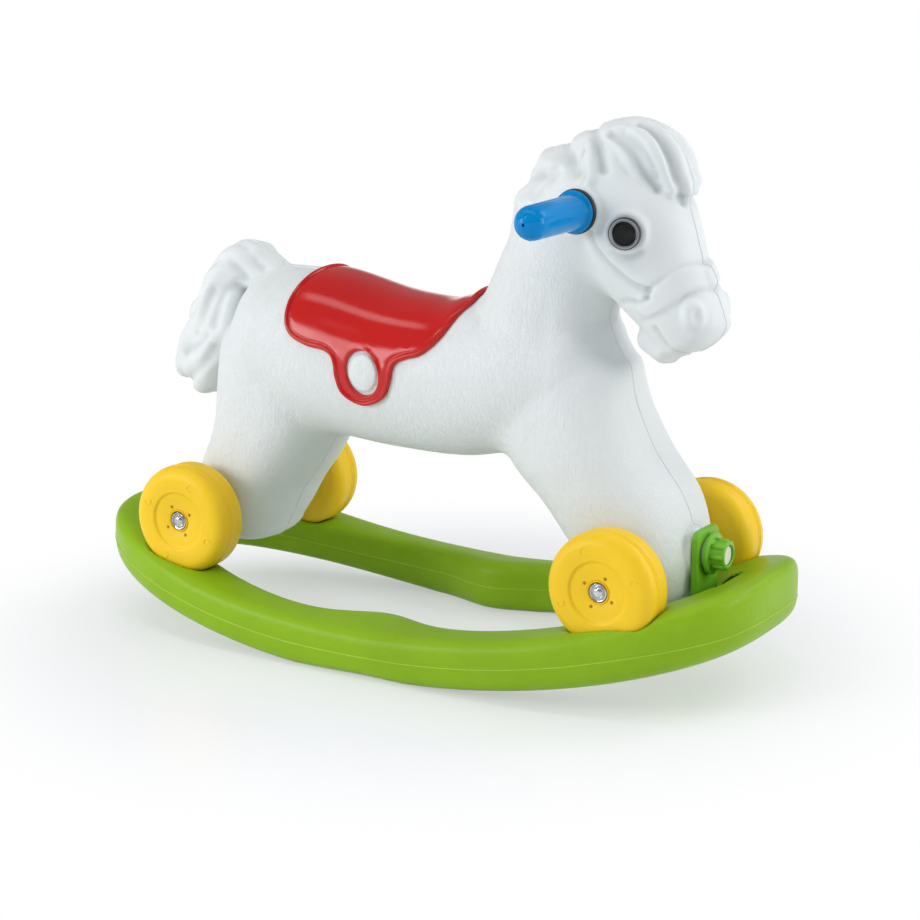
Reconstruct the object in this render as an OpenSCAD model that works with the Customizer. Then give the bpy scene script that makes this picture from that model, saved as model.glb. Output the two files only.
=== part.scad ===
// Ride-on horse on four wheels, seated in a detachable rocker base.
// The horse faces +X, +Z is up and the floor is at z = 0. All sizes are in mm.

/* [Horse] */
// Distance between the front and the rear axle
wheelbase = 460; // [430:1:490]
// Height of the top of the mane above the axles
horse_h = 403; // [380:1:430]
// Widest width of the moulded body
body_w = 150; // [142:1:158]
// Wall of the blow moulded horse
body_wall = 3.5; // [2.5:0.1:5]
// Height of the axles above the floor when the horse stands on the rocker
axle_h = 113; // [110:1:120]
// How far the middle of the wheelbase is in front of the rocker's middle
horse_x = 4; // [0:1:8]

/* [Saddle] */
// Thickness of the saddle shell
saddle_t = 3; // [2:0.1:4]
// Width of the oval hole in each saddle flap
flap_hole_w = 36; // [32:1:38]

/* [Handle and eyes] */
// Outer diameter of the handle tube
handle_d = 22; // [18:1:24]
// Diameter of a grip
grip_d = 32; // [30:1:36]
// Distance from one grip end to the other
handle_l = 300; // [270:1:320]
// Diameter of the eye's outer ring
eye_d = 29; // [26:1:33]

/* [Wheels] */
// Wheel diameter
wheel_d = 106; // [100:1:110]
// Wheel width
wheel_w = 42; // [36:1:46]
// Wall of the blow moulded wheels and rocker
wheel_wall = 3; // [2.5:0.1:4]
// Axle diameter
axle_d = 8; // [7:0.5:9]

/* [Rocker] */
// Length of the rocker ring
rocker_l = 704; // [690:1:740]
// Width of the rocker ring
rocker_w = 304; // [296:1:320]
// Radius of the curved underside
rocker_r = 1120; // [1000:10:1300]
// Radius of the underside behind the place where the ring stands
rear_r = 900; // [840:10:1100]
// Height of the rails at mid length
rail_h = 52; // [48:1:56]
// Length of the opening inside the ring
ring_hole_l = 578; // [574:1:582]
// Width of the opening inside the ring, away from the footrests
ring_hole_w = 224; // [218:1:228]
// How far each footrest reaches into the opening
footrest = 24; // [10:1:32]
// How far the top of a rail slopes down towards its outside
rail_slope = 7; // [0:1:10]
// Height of the arc cut off under the rails, so that the empty horse stands still
stand_flat = 1.8; // [0.8:0.1:2.4]

/* [Fixing knobs] */
// Diameter of the white stud
stud_d = 17; // [15:0.5:19]
// Height of the front stud above the axles
stud_z = 14; // [10:1:18]
// Height of the rear stud above the axles
rear_stud_z = -2; // [-4:1:0]
// Diameter of the knob's flange
knob_d = 39; // [36:1:44]
// Width of the upright tab
tab_w = 44; // [40:1:50]
// Thickness of the upright tab
tab_t = 7; // [5:0.5:8]

/* [Clearances] */
// Gap left between seated pieces
seat = 0.4; // [0.3:0.1:0.8]
// Radial gap of a wheel's hub on its axle
run_gap = 0.5; // [0.3:0.1:0.8]
// Gap between a wheel and its well in the rocker
well_gap = 2; // [1.5:0.1:4]

/* [Hidden] */
$fn = 48;
kx = wheelbase / 460;
ky = body_w / 150;
kz = horse_h / 403;
// Roundness of the cross sections of the body and of the legs
body_e = 2.3;
leg_e = 2.6;
axle_x = wheelbase / 2;
axle_r = axle_d / 2;
wheel_r = wheel_d / 2;
leg_boss_y = 75 * ky;
leg_boss_r = 17;
bush_flange = 3;
washer_t = 2;
wheel_in_y = leg_boss_y + bush_flange + washer_t + 4 * seat;
wheel_out_y = wheel_in_y + wheel_w;
hub_r = axle_r + run_gap + 4.5;
hub_bore_r = hub_r + seat;
hub_pit_r = hub_r + 5.5;
hub_depth = 11;
face_r = 29.5;
face_step = 1.5;
wheel_round = 12;
grip_flange = 3.4;
tab_round = 8;
hub_seat_y = wheel_out_y - hub_depth;
cap_y = hub_seat_y + 2 + 2 * seat;
tunnel_r = axle_r + 5.6;
low_x = -18;
rail_rise = 8;
inner_drop = 4;
inner_lift = 8;
knob_travel = 12;
rail_e = 4;
pad_x = axle_x + 46;
stud_r = stud_d / 2;
tab_x = pad_x + seat;
washer_x = tab_x + tab_t + seat;
knob_x = washer_x + washer_t + seat;
knob_flange = 4;
knob_l = 18;
stud_end_x = knob_x + knob_l - 2;
insert_l = 26;
foot_t = 8;
foot_l = 46;
foot_gap = seat;
head_boss_y = 53 * ky;
grip_y = head_boss_y + 5;
handle_x = 168 * kx;
handle_z = 324 * kz;
eye_x = 215 * kx;
eye_y = 49 * ky;
eye_z = 308 * kz;
eye_turn = 14;
pupil_t = 1.4;
flap_x = -46 * kx;
flap_z = 158 * kz;

// Each station is x, z above the axles, direction, half width and half depth.
torso_st = [[-178, 157, 0, 72, 81], [-120, 159, 0, 75, 78], [-40, 149, 0, 72, 73],
  [40, 149, 0, 70, 72], [105, 166, 0, 69, 73], [145, 167, 0, 64, 71]];
hind_st = [[-175, 149, -98, 70, 66], [-179, 111, -103, 72, 66], [-192, 67, -107, 74, 56],
  [-213, 28, -106, 74, 50], [-226, -2, -98, 66, 50], [-229, -20, -94, 55, 45]];
fore_st = [[135, 157, -72, 64, 66], [147, 115, -62, 70, 65], [177, 75, -60, 74, 55],
  [207, 36, -64, 75, 54], [223, 0, -74, 68, 48], [228, -21, -84, 55, 41]];
neck_st = [[112, 192, 62, 62, 70], [116, 232, 70, 58, 58], [130, 272, 74, 54, 55],
  [148, 312, 68, 50, 54], [160, 339, 60, 46, 48]];
head_st = [[170, 347, -40, 46, 44], [188, 323, -48, 50, 54], [206, 299, -53, 50, 56],
  [231, 257, -56, 42, 44], [253, 229, -58, 38, 36], [262, 215, -62, 34, 32]];
chin_st = [[222, 209, -40, 22, 16], [236, 199, -20, 24, 14]];
mane_st = [[88, 275, 75, 14, 18], [104, 317, 68, 22, 24], [126, 344, 46, 27, 26],
  [162, 365, 26, 30, 27], [197, 373, 0, 32, 30], [220, 363, -45, 32, 28], [236, 345, -72, 26, 21]];
tail_st = [[-198, 226, 150, 20, 20], [-225, 234, 190, 27, 26], [-243, 209, 240, 33, 28],
  [-252, 167, 256, 35, 30], [-274, 130, 232, 33, 30]];

// Side outline of the saddle, x and z above the axles.
saddle_line = [[-122, 275], [-136, 230], [-138, 205], [-130, 187], [-110, 178], [-90, 175],
  [-81, 170], [-77.5, 162], [-76, 152], [-68, 136], [-46, 127.5], [-24, 136], [-16, 152],
  [-14.5, 162], [-11, 170], [-2, 174.5], [14, 180], [28, 193], [42, 212], [60, 238], [72, 275]];

function spow(v, e) = sign(v) * pow(abs(v), e);

function spline(a, b, c, d, t) = 0.5 * (2 * b + (c - a) * t + (2 * a - 5 * b + 4 * c - d) * t * t
  + (3 * b - a - 3 * c + d) * t * t * t);

// Stations with k steps between each pair.
function smooth(st, k) = let (n = len(st)) concat(
  [for (i = [0 : n - 2], j = [0 : k - 1]) spline(i > 0 ? st[i - 1] : 2 * st[0] - st[1],
    st[i], st[i + 1], i < n - 2 ? st[i + 2] : 2 * st[n - 1] - st[n - 2], j / k)],
  [st[n - 1]]);

// One closed ring of a loft, moved along its direction and scaled.
function ring(s, move, size, grow, m, e) = [for (i = [0 : m - 1])
  let (p = 360 * i / m,
    y = spow(cos(p), 2 / e) * (s[3] + grow) * size,
    n = spow(sin(p), 2 / e) * (s[4] + grow) * size)
  [(s[0] + move * cos(s[2]) - n * sin(s[2])) * kx, y * ky,
   (s[1] + move * sin(s[2]) + n * cos(s[2])) * kz]];

function side_faces(rows, m) = [for (i = [0 : rows - 2], j = [0 : m - 1])
  let (a = i * m + j, b = i * m + (j + 1) % m)
  each [[a, a + m, b + m], [a, b + m, b]]];

// A rounded limb through the stations, with a dome of the given length at each end.
module loft(st, dome0, dome1, grow = 0, m = 24, k = 2, e = body_e) {
  body = smooth(st, k);
  last = len(body) - 1;
  rings = concat(
    [for (a = [82, 60, 32]) ring(body[0], -(dome0 + grow) * sin(a), cos(a), grow, m, e)],
    [for (s = body) ring(s, 0, 1, grow, m, e)],
    [for (a = [32, 60, 82]) ring(body[last], (dome1 + grow) * sin(a), cos(a), grow, m, e)]);
  rows = len(rings);
  polyhedron(points = [for (r = rings) each r],
    faces = concat([[for (j = [0 : m - 1]) j]], side_faces(rows, m),
      [[for (j = [m - 1 : -1 : 0]) (rows - 1) * m + j]]));
}

// Places horse pieces, whose heights count from the axles.
module on_horse() {
  translate([horse_x, 0, axle_h]) children();
}

// Turns a piece built along +Z so that it points to the right, -Y.
module to_right() {
  rotate([90, 0, 0]) children();
}

module limbs(grow, m, k) {
  loft(torso_st, 52, 42, grow, m, k);
  loft(hind_st, 50, 22, grow, m, k, leg_e);
  loft(fore_st, 30, 24, grow, m, k, leg_e);
  loft(neck_st, 40, 26, grow, m, k);
  loft(head_st, 34, 16, grow, m, k);
  loft(tail_st, 14, 26, grow, m, k);
}

// A tapering lock of hair through points of x, y, z and radius.
module lock(p) {
  for (i = [0 : len(p) - 2]) hull() {
    translate([p[i][0] * kx, p[i][1] * ky, p[i][2] * kz]) sphere(r = p[i][3], $fn = 8);
    translate([p[i + 1][0] * kx, p[i + 1][1] * ky, p[i + 1][2] * kz])
      sphere(r = p[i + 1][3], $fn = 8);
  }
}

module hair() {
  loft(mane_st, 16, 14, 0, 16, 2);
  for (s = [1, -1]) {
    lock([[205, 10 * s, 391, 9], [238, 12 * s, 372, 11], [250, 12 * s, 340, 7]]);
    lock([[190, 22 * s, 388, 9], [222, 30 * s, 372, 11], [240, 32 * s, 334, 7]]);
    lock([[170, 26 * s, 380, 9], [200, 38 * s, 368, 10], [216, 44 * s, 342, 6]]);
    lock([[148, 22 * s, 370, 10], [158, 38 * s, 368, 9]]);
    lock([[126, 20 * s, 352, 10], [124, 38 * s, 330, 8]]);
    lock([[106, 16 * s, 324, 10], [108, 36 * s, 300, 8]]);
    lock([[-226, 14 * s, 247, 12], [-254, 24 * s, 212, 12], [-266, 24 * s, 170, 11]]);
    lock([[-262, 10 * s, 190, 14], [-284, 14 * s, 160, 13], [-304, 10 * s, 124, 9]]);
  }
}

// Points from the boss on the head outwards along the eye's own axis.
module at_eye(s) {
  translate([eye_x, eye_y * s, eye_z]) rotate([0, 0, -eye_turn * s]) rotate([-90 * s, 0, 0])
    children();
}

// Height of a stud above the axles; s is 1 at the front, -1 at the rear.
function stud_up(s) = s > 0 ? stud_z : rear_stud_z;

module body_bosses() {
  for (x = [axle_x, -axle_x]) translate([x, leg_boss_y, 0]) to_right()
    cylinder(h = 2 * leg_boss_y, r = leg_boss_r);
  translate([handle_x, head_boss_y, handle_z]) to_right()
    cylinder(h = 2 * head_boss_y, r = grip_d / 2 + grip_flange + 2);
  for (s = [1, -1]) {
    at_eye(s) translate([0, 0, -14]) cylinder(h = 15.5, r = eye_d / 2 + 2.5);
    translate([s > 0 ? pad_x - horse_x - 34 : -pad_x - horse_x, 0, stud_up(s)]) rotate([0, 90, 0])
      cylinder(h = 34, r = 24);
    translate([flap_x, 0, flap_z]) rotate([90 * s, 0, 0]) linear_extrude(76 * ky)
      flap_oval(flap_hole_w / 2 - seat - 1.5);
  }
}

// Walls that cross the hollow: axle and handle tunnels, eye and stud sockets.
module inner_walls() {
  for (x = [axle_x, -axle_x]) translate([x, 100, 0]) to_right()
    cylinder(h = 200, r = tunnel_r + body_wall);
  translate([handle_x, 100, handle_z]) to_right()
    cylinder(h = 200, r = handle_d / 2 + seat + body_wall);
  for (s = [1, -1]) {
    at_eye(s) translate([0, 0, -18]) cylinder(h = 30, r = 9.5);
    translate([s * (pad_x - insert_l - 6) - horse_x, 0, stud_up(s)]) rotate([0, 90 * s, 0])
      cylinder(h = 60, r = stud_r + 2 * seat + 3 + body_wall);
  }
}

module body_bores() {
  for (x = [axle_x, -axle_x]) translate([x, 100, 0]) to_right() cylinder(h = 200, r = tunnel_r);
  translate([handle_x, 100, handle_z]) to_right() cylinder(h = 200, r = handle_d / 2 + seat);
  for (s = [1, -1]) {
    at_eye(s) translate([0, 0, -11]) cylinder(h = 30, r = 4 + seat);
    translate([s * (pad_x - insert_l - seat) - horse_x, 0, stud_up(s)]) rotate([0, 90 * s, 0])
      cylinder(h = 60, r = stud_r + 2 * seat + 3);
  }
  // Moulding vent under the belly
  translate([0, 0, 60 * kz]) cylinder(h = 40, r = 4);
}

module horse_body() {
  $fn = 32;
  color("#eef1ee") on_horse() difference() {
    union() {
      limbs(0, 20, 2);
      loft(chin_st, 14, 12, 0, 12, 1);
      hair();
      body_bosses();
    }
    difference() {
      limbs(-body_wall, 12, 1);
      inner_walls();
    }
    body_bores();
  }
}

module flap_oval(a) {
  polygon([for (i = [0 : 31]) [a * cos(i * 11.25), 1.14 * a * sin(i * 11.25)]]);
}

module saddle() {
  line = smooth(saddle_line, 2);
  color("#c8201c") on_horse() difference() {
    intersection() {
      loft(torso_st, 52, 42, seat + saddle_t, 20, 2);
      translate([0, 120, 0]) rotate([90, 0, 0]) linear_extrude(240) difference() {
        polygon([for (p = line) [p[0] * kx, p[1] * kz]]);
        translate([flap_x, flap_z]) flap_oval(flap_hole_w / 2);
      }
    }
    loft(torso_st, 52, 42, seat, 20, 2);
    loft(neck_st, 40, 26, 2 * seat, 20, 2);
  }
}

module handle_bar() {
  half = handle_l / 2 - 10;
  color("#8d9094") on_horse() translate([handle_x, half, handle_z]) to_right() difference() {
    cylinder(h = 2 * half, r = handle_d / 2);
    translate([0, 0, -1]) cylinder(h = 2 * half + 2, r = handle_d / 2 - 1.5);
  }
}

// A grip along +Z from its flange to its domed end, closed apart from a vent.
module grip() {
  r = grip_d / 2;
  l = handle_l / 2 - grip_y;
  bore = handle_d / 2 + seat;
  difference() {
    rotate_extrude() polygon(concat([[0, 0], [r + grip_flange, 0], [r + grip_flange, 3],
      [r + grip_flange - 1, 4], [r, 4]],
      [for (a = [0 : 15 : 75]) [r - 8 + 8 * cos(a), l - 8 + 8 * sin(a)]], [[r - 8, l], [0, l]]));
    translate([0, 0, -1]) cylinder(h = l - 6, r = bore);
    translate([0, 0, l - 10]) cylinder(h = 20, r = 1.5);
  }
}

module right_grip() {
  color("#1673c4") on_horse() translate([handle_x, -grip_y, handle_z]) to_right() grip();
}

module left_grip() {
  color("#1673c4") on_horse() translate([handle_x, grip_y, handle_z]) rotate([-90, 0, 0]) grip();
}

module grip_rings() {
  color("#4a4d50") on_horse() for (s = [1, -1]) {
    translate([handle_x, s * (head_boss_y + seat), handle_z]) rotate([-90 * s, 0, 0]) difference() {
      cylinder(h = grip_y - head_boss_y - 2 * seat, r = grip_d / 2 + grip_flange + 0.8);
      translate([0, 0, -1]) cylinder(h = 12, r = handle_d / 2 + seat);
    }
  }
}

// Bezel with its snap pin, along the eye's axis.
module eye_ring(s) {
  color("#55585c") on_horse() at_eye(s) difference() {
    union() {
      translate([0, 0, 1.5 + seat]) cylinder(h = 6, r = eye_d / 2);
      translate([0, 0, -9]) cylinder(h = 13, r = 4);
    }
    translate([0, 0, 5 + seat]) cylinder(h = 10, r = eye_d / 2 - 2.5);
  }
}

module eye_pupil(s) {
  color("#151516") on_horse() at_eye(s) translate([0, 0, 5 + 2 * seat])
    cylinder(h = pupil_t, r = eye_d / 2 - 4);
}

// Clear dome with a short rim that stands inside the bezel.
module eye_lens(s) {
  r = eye_d / 2 - 3.5;
  h = 4;
  ball = (r * r + h * h) / (2 * h);
  top = asin(r / ball);
  color("#c9d3d8") on_horse() at_eye(s) translate([0, 0, 5 + pupil_t + 3 * seat]) rotate_extrude()
    polygon(concat([[0, 0], [r, 0]], [for (i = [0 : 5])
      [ball * sin(top * (1 - i / 5)), 1 + h - ball + ball * cos(top * (1 - i / 5))]]));
}

module right_eye_ring() { eye_ring(-1); }
module left_eye_ring() { eye_ring(1); }
module right_eye_pupil() { eye_pupil(-1); }
module left_eye_pupil() { eye_pupil(1); }
module right_eye_lens() { eye_lens(-1); }
module left_eye_lens() { eye_lens(1); }

module axle(x) {
  half = cap_y + 2;
  color("#b9bcc0") on_horse() translate([x, half, 0]) to_right() cylinder(h = 2 * half, r = axle_r);
}

module front_axle() { axle(axle_x); }
module rear_axle() { axle(-axle_x); }

// A hollow wheel along +Z, its inner face at z = 0.
module wheel() {
  r = wheel_r;
  w = wheel_w;
  round = wheel_round;
  t = wheel_wall;
  pit = hub_pit_r;
  difference() {
    rotate_extrude($fn = 72) polygon(concat([[hub_bore_r, 0]],
      [for (a = [-90 : 15 : 0]) [r - round + round * cos(a), round + round * sin(a)]],
      [for (a = [0 : 15 : 90]) [r - round + round * cos(a), w - round + round * sin(a)]],
      [[face_r + face_step, w], [face_r, w - face_step], [pit, w - face_step], [pit, w - hub_depth],
       [hub_bore_r, w - hub_depth]]));
    rotate_extrude($fn = 48) polygon([[hub_bore_r + t, t], [r - round, t], [r - t - 1, round],
      [r - t - 1, w - round], [r - round, w - t - 1], [pit + t, w - t - 2],
      [pit + t, w - hub_depth - t], [hub_bore_r + t, w - hub_depth - t]]);
    translate([r * 0.62, 0, -1]) cylinder(h = t + 3, r = 2.5, $fn = 24);
  }
}

module wheel_at(x, s) {
  color("#f2b90f") on_horse() translate([x, s * wheel_in_y, 0]) rotate([-90 * s, 0, 0]) wheel();
}

module front_right_wheel() { wheel_at(axle_x, -1); }
module front_left_wheel() { wheel_at(axle_x, 1); }
module rear_right_wheel() { wheel_at(-axle_x, -1); }
module rear_left_wheel() { wheel_at(-axle_x, 1); }

// Bearing sleeve pushed through a wheel from its outer face, with a deep collar round the axle cap.
module hub_at(x, s) {
  start = wheel_in_y - seat / 2;
  collar = hub_seat_y + seat - start;
  color("#f2b90f") on_horse() translate([x, s * start, 0]) rotate([-90 * s, 0, 0]) difference() {
    union() {
      cylinder(h = collar + 1, r = hub_r);
      translate([0, 0, collar]) cylinder(h = hub_depth - face_step - seat, r = hub_pit_r - seat);
    }
    translate([0, 0, -1]) cylinder(h = wheel_w + 20, r = axle_r + run_gap);
    translate([0, 0, collar + 2]) cylinder(h = hub_depth, r = hub_r + 0.4);
  }
}

module front_right_hub() { hub_at(axle_x, -1); }
module front_left_hub() { hub_at(axle_x, 1); }
module rear_right_hub() { hub_at(-axle_x, -1); }
module rear_left_hub() { hub_at(-axle_x, 1); }

// Flanged bushes in the two ends of a leg's axle tunnel.
module leg_bushes(x) {
  color("#d8dad6") on_horse() for (s = [1, -1]) {
    translate([x, s * (leg_boss_y - 22), 0]) rotate([-90 * s, 0, 0]) difference() {
      union() {
        cylinder(h = 22 + seat + 0.1, r = tunnel_r - seat);
        translate([0, 0, 22 + seat]) cylinder(h = bush_flange, r = 15);
      }
      translate([0, 0, -1]) cylinder(h = 60, r = axle_r + 0.6);
    }
  }
}

module front_leg_bushes() { leg_bushes(axle_x); }
module rear_leg_bushes() { leg_bushes(-axle_x); }

module axle_washers() {
  color("#a9acb0") on_horse() for (x = [axle_x, -axle_x], s = [1, -1]) {
    translate([x, s * (leg_boss_y + bush_flange + 2 * seat), 0]) rotate([-90 * s, 0, 0]) difference() {
      cylinder(h = washer_t, r = 13);
      translate([0, 0, -1]) cylinder(h = washer_t + 2, r = axle_r + 0.6);
    }
  }
}

// Domed push caps over the axle ends.
module axle_caps() {
  r = hub_r - 0.8;
  color("#c9ccd0") on_horse() for (x = [axle_x, -axle_x], s = [1, -1]) {
    translate([x, s * cap_y, 0]) rotate([-90 * s, 0, 0]) difference() {
      rotate_extrude() polygon([[0, 0], [r, 0], [r, 1.2], [r * 0.85, 2.8], [5.6, 3.6], [5.2, 4.8],
        [3, 5.6], [0, 5.8]]);
      translate([0, 0, -1]) cylinder(h = 1 + 2 + seat, r = axle_r + 0.6);
    }
  }
}

// Height of an arc of radius r above its lowest point.
function arc_up(x, r) = r - sqrt(r * r - (x - low_x) * (x - low_x));
// Underside and top of the rails along the ring.
function rail_low(x) = max(0, arc_up(x, x < low_x ? rear_r : rocker_r) - stand_flat);
function rail_top(x) = arc_up(x, rocker_r) + rail_h + rail_rise * pow(2 * x / rocker_l, 2);
// Share of a change that grows from mid length to the ends, over a length l.
function away(x, l) = 1 - exp(-pow(x / l, 2));

// A point of a rounded oval at ring angle s, with half sizes a and b and roundness e.
function oval_pt(s, a, b, e) = [a * cos(s), b * sin(s)]
  / pow(pow(abs(cos(s)), e) + pow(abs(sin(s)), e), 1 / e);

function hole_pt(s) = let (p = oval_pt(s, ring_hole_l / 2, ring_hole_w / 2, 2.1))
  [p[0], p[1] - sign(p[1]) * footrest * exp(-pow(p[0] / 48, 2))];

// One cross section of the ring, set in from the outside by the given wall.
function rail_ring(s, inset, m) = let (
    o = oval_pt(s, rocker_l / 2, rocker_w / 2, 3.2),
    i = hole_pt(s),
    mid = (o + i) / 2,
    half = (o - i) / 2,
    keep = 1 - inset / norm(half))
  [for (j = [0 : m - 1])
    let (p = 360 * j / m,
      out = spow(cos(p), 2 / rail_e),
      up = spow(sin(p), 2 / rail_e),
      u = mid + half * keep * out,
      low = rail_low(u[0]),
      h = rail_top(u[0]) - low,
      mid_part = exp(-pow(u[0] / 250, 6)),
      drop = (rail_slope * (1 + out) + inner_drop * away(u[0], 70) * (1 - out)) / 2 * mid_part,
      lift = inner_lift * away(min(u[0] - low_x, 0), 120) * (1 - out) / 2 * mid_part)
    [u[0], u[1], low + h / 2 + (h / 2 - inset) * up - drop * max(up, 0) + lift * max(-up, 0)]];

module rail_sweep(inset, n, m) {
  polyhedron(points = [for (i = [0 : n - 1]) each rail_ring(360 * i / n, inset, m)],
    faces = [for (i = [0 : n - 1], j = [0 : m - 1])
      let (a = i * m + j, b = i * m + (j + 1) % m, c = ((i + 1) % n) * m + j,
        d = ((i + 1) % n) * m + (j + 1) % m)
      each [[a, b, d], [a, d, c]]]);
}

// The four wells in which the wheels stand, widened by a wall where the hollow has to stay clear.
module wells(wall) {
  gap = well_gap + wall;
  r = wheel_r + gap;
  half = wheel_w / 2 + gap;
  round = wheel_round + gap;
  for (x = [axle_x, -axle_x], s = [1, -1])
    translate([horse_x + x, s * (wheel_in_y + wheel_out_y) / 2, axle_h]) to_right()
      rotate_extrude($fn = 64) polygon(concat([[0, -half]],
        [for (a = [-90 : 18 : 0]) [r - round + round * cos(a), -half + round + round * sin(a)]],
        [for (a = [0 : 18 : 90]) [r - round + round * cos(a), half - round + round * sin(a)]],
        [[0, half]]));
}

// Height of the underside of a bracket's foot.
function foot_z(s) = arc_up(s * (ring_hole_l / 2 + 18), rocker_r) + 26;
function screw_x() = ring_hole_l / 2 + 20;

module bracket_slots(wall) {
  for (s = [1, -1]) {
    x0 = ring_hole_l / 2 - 12;
    x1 = tab_x + foot_l + foot_gap + wall;
    translate([s > 0 ? x0 : -x1, -tab_w / 2 - foot_gap - wall, foot_z(s) - foot_gap - wall])
      cube([x1 - x0, tab_w + 2 * foot_gap + 2 * wall, foot_t + 2 * foot_gap + 2 * wall]);
  }
}

module screw_holes(r, wall) {
  for (s = [1, -1], y = [-12, 12]) translate([s * screw_x(), y, 0]) {
    cylinder(h = foot_z(s) - foot_gap + 1, r = r + wall);
    if (wall == 0) cylinder(h = rail_low(s * screw_x()) + 8, r = r + 3);
  }
}

// Finger room round each knob, above the bracket's foot.
module knob_pockets(wall) {
  x0 = ring_hole_l / 2 - 20;
  w = knob_d / 2 + 6 + wall;
  for (s = [1, -1]) {
    x1 = knob_x + knob_l + 2 + (s > 0 ? 0 : knob_travel) + wall;
    z0 = foot_z(s) + foot_t + foot_gap + wheel_wall - wall;
    translate([s > 0 ? x0 : -x1, -w, z0]) cube([x1 - x0, 2 * w, axle_h + 20 - z0]);
  }
}

module rocker() {
  color("#7cb518") difference() {
    rail_sweep(0, 72, 16);
    difference() {
      rail_sweep(wheel_wall + 0.5, 60, 10);
      wells(wheel_wall);
      bracket_slots(wheel_wall);
      knob_pockets(wheel_wall);
      screw_holes(3, 6);
    }
    wells(0);
    bracket_slots(0);
    knob_pockets(0);
    screw_holes(3, 0);
    // Moulding vent under the rear end
    translate([-(rocker_l + ring_hole_l) / 4, 0, 0]) cylinder(h = rail_low(-320) + 15, r = 3);
  }
}

// How far a tab reaches above its stud; the rear one stays below the top of the wheels.
function tab_rise(s) = stud_r + (s > 0 ? 14 : 6);

// Upright tab with a foot in the rocker's end bar; s is 1 at the front, -1 at the rear.
module bracket(s) {
  z0 = foot_z(s);
  stud_h = axle_h + stud_up(s);
  top = stud_h + tab_rise(s);
  hole = stud_r + seat;
  color("#6fa514") difference() {
    union() {
      translate([s * (tab_x + tab_t / 2) - tab_t / 2, 0, 0]) {
        translate([0, -tab_w / 2, z0]) cube([tab_t, tab_w, top - tab_round - z0]);
        translate([0, tab_round - tab_w / 2, z0]) cube([tab_t, tab_w - 2 * tab_round, top - z0]);
        for (y = [1, -1]) translate([0, y * (tab_w / 2 - tab_round), top - tab_round]) rotate([0, 90, 0])
          cylinder(h = tab_t, r = tab_round);
      }
      translate([s > 0 ? tab_x : -tab_x - foot_l, -tab_w / 2, z0]) cube([foot_l, tab_w, foot_t]);
    }
    translate([s * tab_x - 30, 0, stud_h]) rotate([0, 90, 0]) cylinder(h = 60, r = hole);
    for (y = [-12, 12]) translate([s * screw_x(), y, z0 - 5]) cylinder(h = 30, r = 2.2 + seat);
  }
}

module front_bracket() { bracket(1); }
module rear_bracket() { bracket(-1); }

module bracket_screws() {
  color("#9b9ea2") for (s = [1, -1], y = [-12, 12]) {
    z0 = rail_low(s * screw_x()) + 5 - seat;
    translate([s * screw_x(), y, z0]) union() {
      cylinder(h = 3, r = 4.6);
      translate([0, 0, 2.9]) cylinder(h = foot_z(s) + foot_t - 1 - z0 - 2.9, r = 2.2);
    }
  }
}

// Threaded nylon sleeve in the leg that takes the stud.
module insert(s) {
  color("#d8dad6") translate([s * (pad_x - insert_l), 0, axle_h + stud_up(s)]) rotate([0, 90 * s, 0])
  difference() {
    cylinder(h = insert_l, r = stud_r + seat + 3);
    translate([0, 0, -1]) cylinder(h = insert_l + 2, r = stud_r + 0.6);
  }
}

module front_insert() { insert(1); }
module rear_insert() { insert(-1); }

// White stud that the knob runs along.
module stud(s) {
  x0 = pad_x - insert_l + 1;
  color("#f4f4f2") translate([s * x0, 0, axle_h + stud_up(s)]) rotate([0, 90 * s, 0])
    cylinder(h = stud_end_x - x0, r = stud_r);
}

module front_stud() { stud(1); }
module rear_stud() { stud(-1); }

module knob_washer(s) {
  color("#c4c7c4") translate([s * washer_x, 0, axle_h + stud_up(s)]) rotate([0, 90 * s, 0]) difference() {
    cylinder(h = washer_t, r = stud_r + 7);
    translate([0, 0, -1]) cylinder(h = washer_t + 2, r = stud_r + 0.8);
  }
}

module front_knob_washer() { knob_washer(1); }
module rear_knob_washer() { knob_washer(-1); }

// Ribbed knob that screws along the stud.
module knob(s) {
  barrel = stud_r + 4.6;
  color("#6fa514") translate([s * knob_x, 0, axle_h + stud_up(s)]) rotate([0, 90 * s, 0]) difference() {
    union() {
      cylinder(h = knob_flange, r = knob_d / 2);
      cylinder(h = knob_l, r = barrel);
      for (i = [0 : 7]) rotate([0, 0, i * 45]) translate([barrel - 2, -2, 1]) cube([3.6, 4, knob_l - 3]);
    }
    translate([0, 0, -1]) cylinder(h = knob_l + 2, r = stud_r + 0.8);
  }
}

module front_knob() { knob(1); }
module rear_knob() { knob(-1); }

horse_body();
saddle();
handle_bar();
right_grip();
left_grip();
grip_rings();
right_eye_ring();
left_eye_ring();
right_eye_pupil();
left_eye_pupil();
right_eye_lens();
left_eye_lens();
front_axle();
rear_axle();
front_right_wheel();
front_left_wheel();
rear_right_wheel();
rear_left_wheel();
front_right_hub();
front_left_hub();
rear_right_hub();
rear_left_hub();
front_leg_bushes();
rear_leg_bushes();
axle_washers();
axle_caps();
rocker();
front_bracket();
rear_bracket();
bracket_screws();
front_insert();
rear_insert();
front_stud();
rear_stud();
front_knob_washer();
rear_knob_washer();
front_knob();
rear_knob();
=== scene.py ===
import math

import bpy
import numpy as np
from mathutils import Matrix, Vector
from mathutils.geometry import delaunay_2d_cdt


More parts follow.
